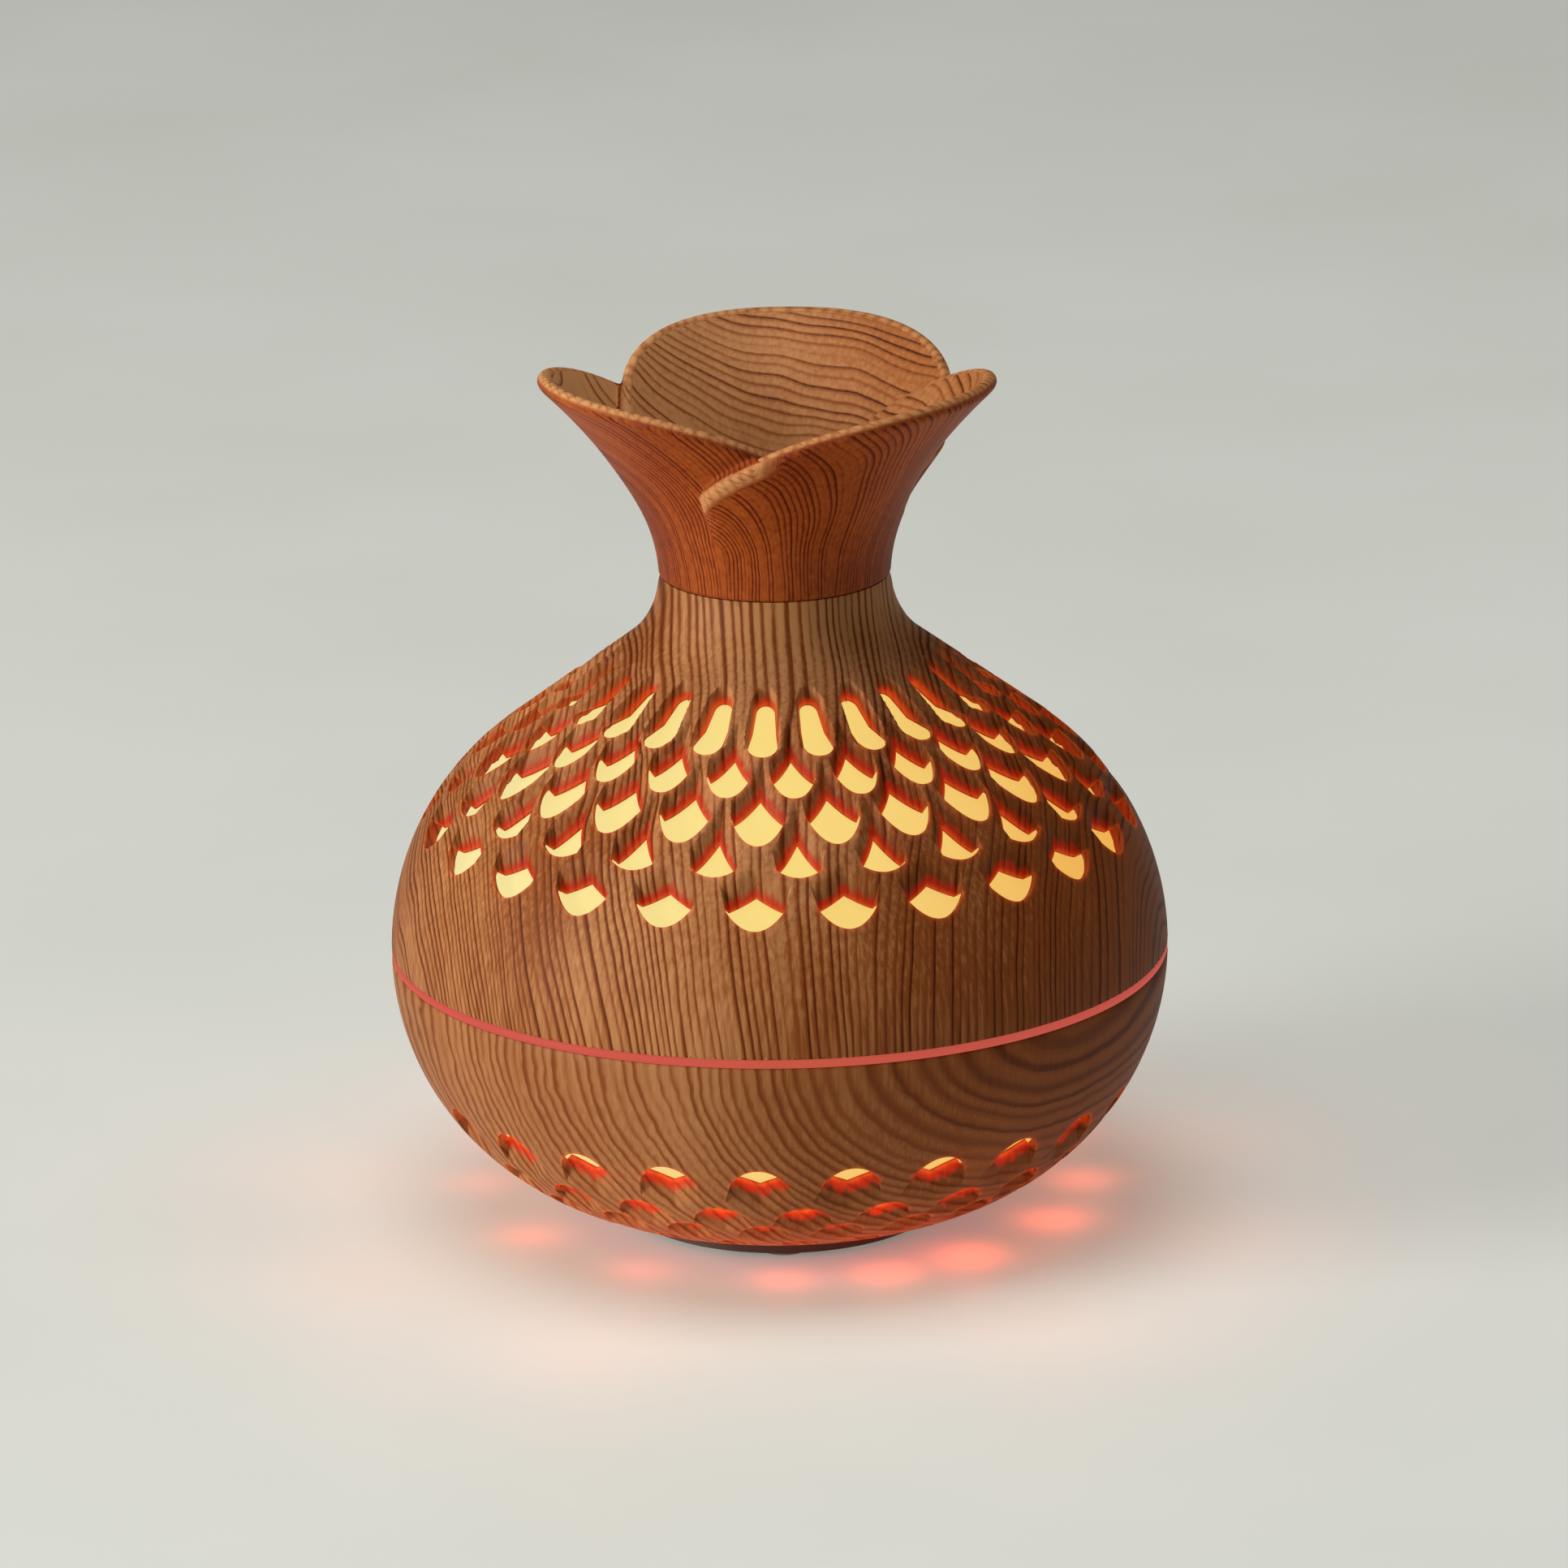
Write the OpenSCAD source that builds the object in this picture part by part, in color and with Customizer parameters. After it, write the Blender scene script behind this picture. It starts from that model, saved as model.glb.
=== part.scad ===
// Vase-shaped ultrasonic oil diffuser.
// The rounded base holds the water tank, the mist plate, the fan and the lights. The dome with its
// petal mouth lifts off to fill the tank. Both halves are pierced by rows of scale-shaped openings
// with a milky liner behind them, and a thin light ring runs round the widest line.
// The origin is on the surface that the diffuser stands on, on its axis. The front faces -Y.

/* [Outer shape] */
// Radius at the widest line
belly_r = 60; // [59:0.5:62]
// Height of the widest line above the table
belly_z = 43.5; // [43:0.25:44]
// Radius of the round profile of the dome
dome_arc_r = 41.7; // [41:0.1:42.5]
// Radius of the round profile of the bowl
bowl_arc_r = 40.6; // [40.2:0.1:40.8]
// Radius at the seam between neck and petals
neck_r = 17.8; // [17.4:0.1:18.6]
// Height of that seam
neck_z = 103; // [102:0.5:105]
// Radius of the hollow curve of the neck
neck_arc_r = 14; // [12:0.5:16]
// Wall thickness of the outer shells
shell_wall = 2.5; // [2.2:0.1:2.6]
// Wall thickness of the milky liners
liner_wall = 1.2; // [0.8:0.1:1.3]

/* [Petal mouth] */
// Height of the petal tips
tip_z = 136; // [130:1:142]
// Radius of the mouth at the petal tips
tip_r = 35.4; // [32:0.2:40]
// How far the notch between two petals lies below the tips
notch_drop = 7.4; // [4:0.2:10]
// Thickness of a petal
petal_wall = 2.3; // [1.8:0.1:2.6]
// Angle of one petal's middle, from the front
petal_phase = 56.5; // [0:0.5:120]

/* [Openings] */
// Openings in one row
columns = 24; // [20:2:26]
// Angle of the front column of openings, from the front
column_phase = -3.9; // [-7:0.1:7]

/* [Light ring] */
// Height of the underside of the light ring
ring_z = 42.6; // [42.4:0.1:42.8]
// Visible height of the light ring
ring_h = 1.4; // [1.2:0.1:1.6]

/* [Controls] */
// Travel of the two push buttons
button_travel = 0.8; // [0.5:0.1:0.8]
// Radius of a push button
button_r = 4; // [3.5:0.1:4.2]
// Angle between the power socket and each button
button_spread = 20; // [18:1:26]

/* [Hidden] */
$fn = 96;
eps = 0.01;

// Outer profile: dome arc, straight shoulder and hollow neck arc, all tangent
dome_c = [belly_r - dome_arc_r, belly_z];
bowl_c = [belly_r - bowl_arc_r, belly_z];
neck_c = [neck_r + neck_arc_r, neck_z];
span = neck_c - dome_c;
shoulder_angle = atan2(span.y, span.x) - acos((dome_arc_r + neck_arc_r) / norm(span));
shoulder_dir = [cos(shoulder_angle), sin(shoulder_angle)];
bowl_floor_z = belly_z - bowl_arc_r;
ring_top = ring_z + ring_h;
liner_gap = 0.35;
liner_out = shell_wall + liner_gap;
liner_in = liner_out + liner_wall;
lip_h = 1;
lip_fit = 0.02;

// Base parts, from the table up
foot_h = 1.5;
foot_r = 4;
foot_ring_r = 18.5;
cover_r = 24;
cover_z = 0.8;
cover_top = 4.4;
board_r = 25;
board_z = 8.6;
board_h = 1.6;
board_top = board_z + board_h;
fan_x = 29.5;
fan_r = 12.3;
fan_bore_r = 11.4;
fan_z = 16;
fan_h = 6;
plenum_h = 2.5;
plenum_z = fan_z + fan_h;
tank_floor_z = plenum_z + plenum_h;
tank_floor_h = 2;
tank_out_r = 44;
tank_in_r = 42;
tank_rim_z = 50;
flange_r = 53.6;
flange_h = 2;
duct_r = 6.5;
duct_bore_r = 5.4;
duct_top = 55;
plate_hole_r = 8.5;
disc_r = 10;
disc_h = 0.8;
disc_z = tank_floor_z - 1.7;
seal_r = 12;
seal_h = 2.4;
seal_z = tank_floor_z - seal_h;
retainer_r = 16.6;
retainer_h = 1.5;
retainer_z = seal_z - retainer_h;
boss_ring_r = 14.4;
boss_screw_r = 0.9;
lid_seal_r = 0.9;
base_screw_r = 1.25;
base_screw_l = 8;
base_screw_z = cover_z + 1.8;
post_r = 3;
post_ring_r = 20;
post_angles = [60, 120, 240, 300];
foot_angles = [0, 90, 180, 270];
led_ring_in = 43;
led_ring_out = 47.6;
led_board_z = 21.2;
led_board_h = 1.2;
led_count = 12;

// Lid parts
spigot_r = 15.1;
spigot_wall = 1.5;
spigot_z = neck_z - 7;
chimney_r = 13.4;
chimney_wall = 1.2;
chimney_top = neck_z - 2;
baffle_z = 64;
baffle_h = 1.6;
baffle_r = 48.7;
chimney_flange_r = 18;

// Controls at the back
rear = 90;
socket_z = 34;
socket_mouth_r = 5.2;
socket_back = 45;
button_z = 36.5;
button_back = 54;
button_flange = 1;
button_face = 59.9;
button_gap = 0.06;
plunger_r = 1.6;
plunger_in = 51.2;
switch_face = 52.6;
switch_back = 49;
board_back = 47.6;
button_angles = [rear - button_spread, rear + button_spread];

// ---------- outer profile ----------

// Area inside the dome's outer line, moved inwards by "inset"
module dome_area(inset) {
    difference() {
        union() {
            translate(dome_c) circle(r = dome_arc_r - inset);
            polygon([[0, belly_z], dome_c + (dome_arc_r - inset) * shoulder_dir,
                     neck_c - (neck_arc_r + inset) * shoulder_dir,
                     [neck_r - inset, neck_z], [0, neck_z]]);
        }
        translate(neck_c) circle(r = neck_arc_r + inset);
    }
}

// Area inside the bowl's outer line, moved inwards by "inset"
module bowl_area(inset) {
    translate(bowl_c) circle(r = bowl_arc_r - inset);
    translate([0, bowl_floor_z + inset]) square([bowl_c.x, bowl_arc_r - inset]);
}

// Band of the profile plane between two heights
module band(z_low, z_high) {
    translate([0, z_low]) square([belly_r + 5, z_high - z_low]);
}

// ---------- scale-shaped openings ----------

// A row: [height of the tip edge, width, drop of the round edge, rise of the peak]
dome_rows = [[83.5, 4.6, 2.2, 10], [79, 7.2, 3.2, 5.2], [73.6, 8.4, 3.7, 5.6],
             [69.8, 6.8, 1.4, 5.6], [62.9, 8.7, 2.8, 4.2]];
bowl_rows = [[24.8, 9.4, 4.6, 1.6], [17.4, 8.4, 3.2, 1.4], [13.3, 7, 2.6, 1.2], [8.9, 4.8, 1.6, 0.9]];

// Outline of a scale: a round lower edge and two hollow upper edges that meet in a peak
arc_steps = 5;
function round_edge(w, drop) =
    [for (i = [0:arc_steps]) let (a = 180 + 180 * i / arc_steps) [w / 2 * cos(a), drop * sin(a)]];
function peak_edge(w, rise) =
    [for (x = [0.6, 0.25]) [w / 2 * x, rise * pow(1 - x, 1.5)]];
function scale_outline(w, drop, rise) = let (right = peak_edge(w, rise))
    concat(round_edge(w, drop), right, [[0, rise]],
           [for (i = [len(right) - 1:-1:0]) [-right[i].x, right[i].y]]);

// Angle of the surface's outward direction at height z, on the dome and on the bowl
function dome_dir(z) = min(asin((z - dome_c.y) / dome_arc_r), shoulder_angle);
function dome_point(z) = let (edge = dome_c + dome_arc_r * shoulder_dir)
    z < edge.y ? dome_c + dome_arc_r * [cos(dome_dir(z)), sin(dome_dir(z))]
               : edge + (z - edge.y) * [-tan(shoulder_angle), 1];
function bowl_dir(z) = asin((z - bowl_c.y) / bowl_arc_r);
function bowl_point(z) = bowl_c + bowl_arc_r * [cos(bowl_dir(z)), sin(bowl_dir(z))];

// One row of openings cut square to the surface; "up" is 1 for the dome and -1 for the bowl
module scale_row(point, dir, row, up, turn) {
    for (i = [0:columns - 1])
        rotate(column_phase + turn + 360 / columns * i - 90)
            translate([point.x, 0, point.y])
                rotate([0, 90 - dir, 0])
                    rotate(90)
                        translate([0, up * row[2], -shell_wall - 2])
                            linear_extrude(2 * shell_wall + 3)
                                scale([1, up])
                                    polygon(scale_outline(row[1], row[2], row[3]));
}

module radial_hole(angle, z, r) {
    rotate(angle) translate([belly_r - 12, 0, z]) rotate([0, 90, 0]) cylinder(h = 20, r = r);
}

// ---------- lid ----------

// Petal mouth. Every section is one closed line, from the seam up the outside and back down inside.
petal_count = 3;
sections = 90;
rise_steps = [0, 0.2, 0.4, 0.58, 0.74, 0.88, 0.96];
petal_span = 360 / petal_count;
lap_angle = 8;
flare_power = 1.8;
// Angle from the middle of the petal that the section cuts
function petal_angle(a) = (a - petal_phase + 1.5 * petal_span) % petal_span - petal_span / 2;
// Runs from 1 at a petal's outer edge to -1 where it tucks under the next one
function lap(p) = let (h = petal_span / 2, s = -p / (h - lap_angle / 2))
    abs(p) < h - lap_angle / 2 ? s : sign(s) * (h - abs(p)) / (lap_angle / 2);
function rim_z(p) = tip_z - notch_drop * pow(abs(2 * p / petal_span), 2.4);
function flare_r(z) = neck_r + (tip_r - neck_r) * pow((z - neck_z) / (tip_z - neck_z), flare_power);
function leaf_shift(p, z) =
    lap(p) * petal_wall / 2 * pow(max(0, (z - neck_z - 6) / (tip_z - neck_z - 6)), 1.2);
function leaf_r(p, z) = flare_r(z) + leaf_shift(p, z);
function turned(a, r, z) = [r * sin(a), -r * cos(a), z];
function petal_section(a) =
    let (p = petal_angle(a), top = rim_z(p),
         zs = [for (s = rise_steps) neck_z + s * (top - neck_z)],
         lean = atan2(leaf_r(p, top) - leaf_r(p, top - 2), 2),
         out = [for (z = zs) turned(a, leaf_r(p, z), z)],
         inner = [for (i = [len(zs) - 1:-1:1])
                  turned(a, leaf_r(p, zs[i]) - petal_wall * cos(lean * rise_steps[i]),
                         zs[i] + petal_wall * sin(lean * rise_steps[i]) * 0.5)],
         lip = [turned(a, leaf_r(p, top) - 0.1, top - 0.7),
                turned(a, leaf_r(p, top) - 0.9, top),
                turned(a, leaf_r(p, top) - 2.1, top - 0.2)])
    concat(out, lip, inner,
           [turned(a, spigot_r - spigot_wall, neck_z), turned(a, spigot_r - spigot_wall, spigot_z),
            turned(a, spigot_r, spigot_z), turned(a, spigot_r, neck_z)]);

module petal_collar() {
    rings = [for (i = [0:sections - 1]) petal_section(i * 360 / sections + 0.5)];
    n = len(rings[0]);
    points = [for (ring = rings) each ring];
    faces = [for (i = [0:sections - 1], j = [0:n - 1])
             let (i2 = (i + 1) % sections, j2 = (j + 1) % n)
             each [[i * n + j, i * n + j2, i2 * n + j], [i * n + j2, i2 * n + j2, i2 * n + j]]];
    color("sienna") polyhedron(points, faces);
}

module upper_shell() {
    color("peru")
        difference() {
            rotate_extrude()
                intersection() {
                    difference() {
                        dome_area(0);
                        dome_area(shell_wall);
                    }
                    band(ring_top, neck_z);
                }
            for (k = [0:len(dome_rows) - 1])
                let (row = dome_rows[k])
                    scale_row(dome_point(row[0]), dome_dir(row[0]), row, 1, k % 2 * 180 / columns);
        }
}

module upper_liner() {
    liner_top = neck_z - 12;
    liner_bottom = ring_top + 0.4;
    color("cornsilk")
        rotate_extrude()
            difference() {
                intersection() {
                    union() {
                        dome_area(liner_out);
                        intersection() {
                            dome_area(shell_wall + lip_fit);
                            band(liner_bottom, liner_bottom + lip_h);
                        }
                    }
                    band(liner_bottom, liner_top);
                }
                dome_area(liner_in);
            }
}

module mist_chimney() {
    color("whitesmoke")
        translate([0, 0, baffle_z + baffle_h])
            difference() {
                union() {
                    cylinder(h = chimney_top - baffle_z - baffle_h, r = chimney_r);
                    cylinder(h = 1.5, r = chimney_flange_r);
                }
                translate([0, 0, -1]) cylinder(h = 60, r = chimney_r - chimney_wall);
            }
}

module splash_baffle() {
    drain_r = 1.5;
    color("whitesmoke")
        translate([0, 0, baffle_z])
            difference() {
                cylinder(h = baffle_h, r = baffle_r);
                translate([0, 0, -1]) cylinder(h = 4, r = chimney_r - chimney_wall);
                for (a = [0:60:300])
                    rotate(a) translate([baffle_r - 8, 0, -1]) cylinder(h = 4, r = drain_r);
            }
}

// ---------- base: shells, ring and tank ----------

module light_ring() {
    ring_in_r = 50;
    color("lightpink")
        difference() {
            translate([0, 0, ring_z]) cylinder(h = ring_h, r = belly_r);
            translate([0, 0, ring_z - 1]) cylinder(h = ring_h + 2, r = ring_in_r);
        }
}

module lower_shell() {
    color("peru")
        difference() {
            rotate_extrude()
                difference() {
                    intersection() {
                        difference() {
                            bowl_area(0);
                            bowl_area(shell_wall);
                        }
                        band(0, ring_z);
                    }
                    square([cover_r, 12]);
                }
            for (k = [0:len(bowl_rows) - 1])
                let (row = bowl_rows[k])
                    scale_row(bowl_point(row[0]), bowl_dir(row[0]), row, -1, k % 2 * 180 / columns);
            radial_hole(rear, socket_z, socket_mouth_r + 0.1);
            for (a = button_angles)
                radial_hole(a, button_z, button_r + button_gap);
        }
}

module lower_liner() {
    ledge_h = 1;
    ledge_w = 1;
    liner_foot_r = 26;
    color("cornsilk")
        difference() {
            rotate_extrude()
                difference() {
                    intersection() {
                        union() {
                            bowl_area(liner_out);
                            intersection() {
                                bowl_area(shell_wall + lip_fit);
                                band(ring_z - lip_h, ring_z);
                            }
                        }
                        band(0, ring_z);
                    }
                    difference() {
                        bowl_area(liner_in);
                        translate([led_ring_out - ledge_w, led_board_z - ledge_h]) square([5, ledge_h]);
                    }
                    square([liner_foot_r, 12]);
                }
            radial_hole(rear, socket_z, socket_mouth_r + 0.8);
            for (a = button_angles)
                radial_hole(a, button_z, button_r + 2);
        }
}

// Places the children at each boss of the mist plate's retainer
module at_bosses() {
    for (a = [60:120:300])
        rotate(a) translate([boss_ring_r, 0, 0]) children();
}

// Places the children at each support post
module at_posts() {
    for (a = post_angles)
        rotate(a) translate([post_ring_r, 0, 0]) children();
}

// Square pad on the tank's wall that carries a piece out to radius "reach"
module wall_pad(angle, z, reach) {
    pad_w = 8;
    rotate(angle)
        translate([tank_out_r - 1, -pad_w / 2, z - pad_w / 2])
            cube([reach - tank_out_r + 1, pad_w, pad_w]);
}

module water_tank() {
    boss_r = 2;
    color("white")
        difference() {
            union() {
                rotate_extrude()
                    difference() {
                        union() {
                            translate([0, tank_floor_z]) square([tank_out_r, tank_rim_z - tank_floor_z]);
                            translate([0, ring_top]) square([flange_r, flange_h]);
                        }
                        translate([0, tank_floor_z + tank_floor_h]) square([tank_in_r, 60]);
                        translate([flange_r, ring_top + flange_h / 2]) circle(r = lid_seal_r);
                    }
                for (a = button_angles)
                    wall_pad(a, button_z, board_back);
                wall_pad(rear, socket_z, socket_back);
                at_bosses() translate([0, 0, seal_z]) cylinder(h = seal_h, r = boss_r);
            }
            translate([0, 0, tank_floor_z - 1]) cylinder(h = tank_floor_h + 2, r = plate_hole_r);
            translate([fan_x, 0, tank_floor_z - 1]) cylinder(h = tank_floor_h + 2, r = duct_r);
            at_bosses() translate([0, 0, seal_z - 1]) cylinder(h = tank_floor_h + seal_h, r = boss_screw_r);
        }
}

module air_duct() {
    color("white")
        translate([fan_x, 0, tank_floor_z])
            difference() {
                cylinder(h = duct_top - tank_floor_z, r = duct_r);
                translate([0, 0, -1]) cylinder(h = duct_top - tank_floor_z + 2, r = duct_bore_r);
            }
}

module support_posts() {
    color("white")
        at_posts()
            translate([0, 0, cover_top])
                difference() {
                    cylinder(h = tank_floor_z - cover_top, r = post_r);
                    translate([0, 0, -1]) cylinder(h = base_screw_l + 1, r = base_screw_r);
                }
}

module lid_seal() {
    color("gainsboro")
        rotate_extrude()
            translate([flange_r, ring_top + flange_h / 2]) circle(r = lid_seal_r, $fn = 32);
}

module duct_cap() {
    cap_r = 7.6;
    cap_bottom = duct_top - 3;
    cap_h = 7;
    roof_h = 1;
    slot_w = 3;
    slot_h = 2;
    color("whitesmoke")
        translate([fan_x, 0, cap_bottom])
            difference() {
                cylinder(h = cap_h, r = cap_r);
                translate([0, 0, -1]) cylinder(h = duct_top - cap_bottom + 1, r = duct_r);
                cylinder(h = cap_h - roof_h, r = duct_bore_r);
                for (a = [0:60:120])
                    rotate(a)
                        translate([-cap_r - 1, -slot_w / 2, duct_top - cap_bottom + 0.6])
                            cube([2 * cap_r + 2, slot_w, slot_h]);
            }
}

// ---------- base: mist plate ----------

module transducer_disc() {
    color("goldenrod") translate([0, 0, disc_z]) cylinder(h = disc_h, r = disc_r);
}

module transducer_seal() {
    color("dimgray")
        translate([0, 0, seal_z])
            difference() {
                cylinder(h = seal_h, r = seal_r);
                translate([0, 0, -1]) cylinder(h = seal_h + 2, r = plate_hole_r);
                translate([0, 0, disc_z - seal_z]) cylinder(h = disc_h, r = disc_r);
            }
}

module transducer_retainer() {
    window_r = 6;
    color("white")
        translate([0, 0, retainer_z])
            difference() {
                cylinder(h = retainer_h, r = retainer_r);
                translate([0, 0, -1]) cylinder(h = retainer_h + 2, r = window_r);
                at_bosses() translate([0, 0, -1]) cylinder(h = retainer_h + 2, r = boss_screw_r + 0.2);
            }
}

// Pan-head screw that points up: the head's underside is at z = 0
module screw(head_r, head_h, shank_r, length) {
    slot_w = 0.4;
    translate([0, 0, -head_h])
        difference() {
            cylinder(h = head_h, r = head_r, $fn = 32);
            for (turn = [0, 90])
                rotate(turn)
                    translate([-head_r * 0.6, -slot_w / 2, -eps])
                        cube([head_r * 1.2, slot_w, head_h * 0.5]);
        }
    cylinder(h = length, r = shank_r, $fn = 32);
}

module retainer_screws() {
    color("silver")
        at_bosses() translate([0, 0, retainer_z]) screw(1.7, 1, boss_screw_r, retainer_h + 2);
}

// ---------- base: fan ----------

ear_ring_r = 13.4;
ear_r = 1.9;
ear_screw_r = 0.8;
strut_h = 0.8;
strut_w = 1.6;
stator_r = 5;
bearing_r = 1.5;
bearing_h = 3.6;
shaft_r = 0.75;
shaft_fit = 0.04;
rotor_z = 1.2;
rotor_h = 4.2;
rotor_r = 5;
rotor_wall = 0.6;

// Places the children at the two screw ears on opposite sides of the fan
module at_ears() {
    for (side = [-1, 1])
        translate([0, side * ear_ring_r, 0]) children();
}

module fan_plenum() {
    color("white")
        translate([fan_x, 0, plenum_z])
            difference() {
                union() {
                    cylinder(h = plenum_h, r = fan_r);
                    at_ears() cylinder(h = plenum_h, r = ear_r);
                }
                at_ears() translate([0, 0, -1]) cylinder(h = plenum_h + 2, r = ear_screw_r);
                translate([0, 0, -eps])
                    cylinder(h = plenum_h + 2 * eps, r1 = fan_bore_r, r2 = duct_bore_r);
            }
}

module fan_housing() {
    color("dimgray")
        translate([fan_x, 0, fan_z])
            difference() {
                union() {
                    difference() {
                        union() {
                            cylinder(h = fan_h, r = fan_r);
                            at_ears() cylinder(h = fan_h, r = ear_r);
                        }
                        translate([0, 0, -1]) cylinder(h = fan_h + 2, r = fan_bore_r);
                    }
                    cylinder(h = strut_h, r = stator_r);
                    for (a = [30, 150, 270])
                        rotate(a)
                            translate([0, -strut_w / 2, 0]) cube([fan_bore_r + 0.4, strut_w, strut_h]);
                    cylinder(h = bearing_h, r = bearing_r);
                }
                at_ears() translate([0, 0, -1]) cylinder(h = fan_h + 2, r = ear_screw_r);
                translate([0, 0, strut_h / 2]) cylinder(h = bearing_h, r = shaft_r + shaft_fit);
            }
}

module fan_coil() {
    coil_r = 3.3;
    coil_h = 2.2;
    color("darkorange")
        translate([fan_x, 0, fan_z + strut_h])
            difference() {
                cylinder(h = coil_h, r = coil_r);
                translate([0, 0, -1]) cylinder(h = coil_h + 2, r = bearing_r);
            }
}

module fan_screws() {
    color("silver")
        translate([fan_x, 0, fan_z])
            at_ears() screw(1.6, 0.9, ear_screw_r, fan_h + 2);
}

module fan_impeller() {
    roof_h = 0.8;
    blade_count = 7;
    blade_tip_r = 11;
    blade_tilt = 40;
    blade_w = 5;
    blade_h = 0.7;
    color("darkslategray")
        translate([fan_x, 0, fan_z + rotor_z]) {
            difference() {
                cylinder(h = rotor_h, r = rotor_r);
                translate([0, 0, -1]) cylinder(h = rotor_h - roof_h + 1, r = rotor_r - rotor_wall);
            }
            translate([0, 0, strut_h - rotor_z]) cylinder(h = rotor_h, r = shaft_r);
            for (i = [0:blade_count - 1])
                rotate(360 / blade_count * i)
                    translate([rotor_r - rotor_wall / 2, 0, rotor_h / 2])
                        rotate([blade_tilt, 0, 0])
                            translate([0, -blade_w / 2, -blade_h / 2])
                                cube([blade_tip_r - rotor_r, blade_w, blade_h]);
        }
}

module fan_magnet() {
    magnet_h = 3;
    magnet_wall = 0.8;
    color("black")
        translate([fan_x, 0, fan_z + rotor_z + 0.1])
            difference() {
                cylinder(h = magnet_h, r = rotor_r - rotor_wall);
                translate([0, 0, -1]) cylinder(h = magnet_h + 2, r = rotor_r - rotor_wall - magnet_wall);
            }
}

// ---------- base: electronics ----------

stand_ring_r = 15;
stand_angles = [90, 210, 330];
stand_r = 2.4;
board_screw_r = 1;

// Round components on the main board: [x, y, height, radius]
cans = [[-17, 1, 7, 3.1], [-14, 9.5, 5.5, 2.5], [2, -12, 4.5, 4]];
// Square components on the main board: [x, y, width, depth, height]
chips = [[-4, -4, 8, 6, 1.6], [-8, -12, 5, 4, 1.4], [14, -4, 6, 8, 4], [-3.5, 5.5, 7, 3.5, 2.2]];

// Places the children at each stand-off of the main board
module at_stands() {
    for (a = stand_angles)
        rotate(a) translate([stand_ring_r, 0, 0]) children();
}

module main_board() {
    color("darkgreen")
        translate([0, 0, board_z])
            difference() {
                cylinder(h = board_h, r = board_r);
                at_posts() translate([0, 0, -1]) cylinder(h = board_h + 2, r = post_r + 0.3);
                at_stands() translate([0, 0, -1]) cylinder(h = board_h + 2, r = board_screw_r + 0.1);
            }
}

module board_components() {
    color("black")
        translate([0, 0, board_top]) {
            for (can = cans)
                translate([can[0], can[1], 0]) cylinder(h = can[2], r = can[3]);
            for (chip = chips)
                translate([chip[0], chip[1], 0]) cube([chip[2], chip[3], chip[4]]);
        }
}

module heat_sink() {
    fins = 4;
    fin_w = 0.8;
    fin_h = 4;
    sink = [5, 8, 1];
    color("silver")
        translate([7, 4, board_top]) {
            cube(sink);
            for (i = [0:fins - 1])
                translate([0, i * (sink.y - fin_w) / (fins - 1), sink.z - eps])
                    cube([sink.x, fin_w, fin_h]);
        }
}

module board_screws() {
    color("silver")
        at_stands()
            translate([0, 0, board_top])
                mirror([0, 0, 1]) screw(1.9, 1, board_screw_r, board_h + 2);
}

module led_board() {
    color("ivory")
        translate([0, 0, led_board_z])
            difference() {
                cylinder(h = led_board_h, r = led_ring_out);
                translate([0, 0, -1]) cylinder(h = 4, r = led_ring_in);
            }
}

module leds() {
    led = [2.8, 3.5, 0.9];
    color("gold")
        for (i = [0:led_count - 1])
            rotate(360 / led_count * (i + 0.5))
                translate([(led_ring_in + led_ring_out - led.x) / 2, -led.y / 2, led_board_z + led_board_h])
                    cube(led);
}

// ---------- base: socket and switches ----------

// Places the children at the socket's axis, with their +Z pointing outwards, at radius "r"
module at_socket(r) {
    rotate(rear) translate([r, 0, socket_z]) rotate([0, 90, 0]) children();
}

module power_socket() {
    body_front = 52.6;
    mouth_front = 57.8;
    body_w = 10.4;
    body_h = 9.4;
    socket_bore_r = 2.9;
    color("black")
        difference() {
            union() {
                rotate(rear)
                    translate([socket_back, -body_w / 2, socket_z - body_h / 2])
                        cube([body_front - socket_back, body_w, body_h]);
                at_socket(body_front - 1) cylinder(h = mouth_front - body_front + 1, r = socket_mouth_r);
            }
            at_socket(socket_back + 2) cylinder(h = 20, r = socket_bore_r);
        }
}

module socket_pin() {
    pin_r = 1.05;
    pin_l = 9;
    color("silver") at_socket(socket_back + 2) cylinder(h = pin_l, r = pin_r);
}

module button_boards() {
    small_board = [switch_back - board_back, 11, 10];
    color("darkgreen")
        for (a = button_angles)
            rotate(a)
                translate([board_back, -small_board.y / 2, button_z - small_board.z / 2])
                    cube(small_board);
}

module switch_bodies() {
    switch_w = 6;
    color("dimgray")
        for (a = button_angles)
            rotate(a)
                difference() {
                    translate([switch_back, -switch_w / 2, button_z - switch_w / 2])
                        cube([switch_face - switch_back, switch_w, switch_w]);
                    translate([plunger_in - button_travel - 0.2, 0, button_z])
                        rotate([0, 90, 0]) cylinder(h = 9, r = plunger_r + 0.05);
                }
}

module button_at(angle) {
    color("saddlebrown")
        rotate(angle)
            translate([0, 0, button_z])
                rotate([0, 90, 0]) {
                    translate([0, 0, button_back]) cylinder(h = button_flange, r = button_r + 1);
                    translate([0, 0, button_back]) cylinder(h = button_face - button_back, r = button_r);
                }
}

module plunger_at(angle) {
    color("firebrick")
        rotate(angle)
            translate([plunger_in, 0, button_z])
                rotate([0, 90, 0]) cylinder(h = button_back - plunger_in, r = plunger_r, $fn = 48);
}

module mist_button() { button_at(button_angles[0]); }
module mist_plunger() { plunger_at(button_angles[0]); }
module light_button() { button_at(button_angles[1]); }
module light_plunger() { plunger_at(button_angles[1]); }

// ---------- base: cover, screws and feet ----------

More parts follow.
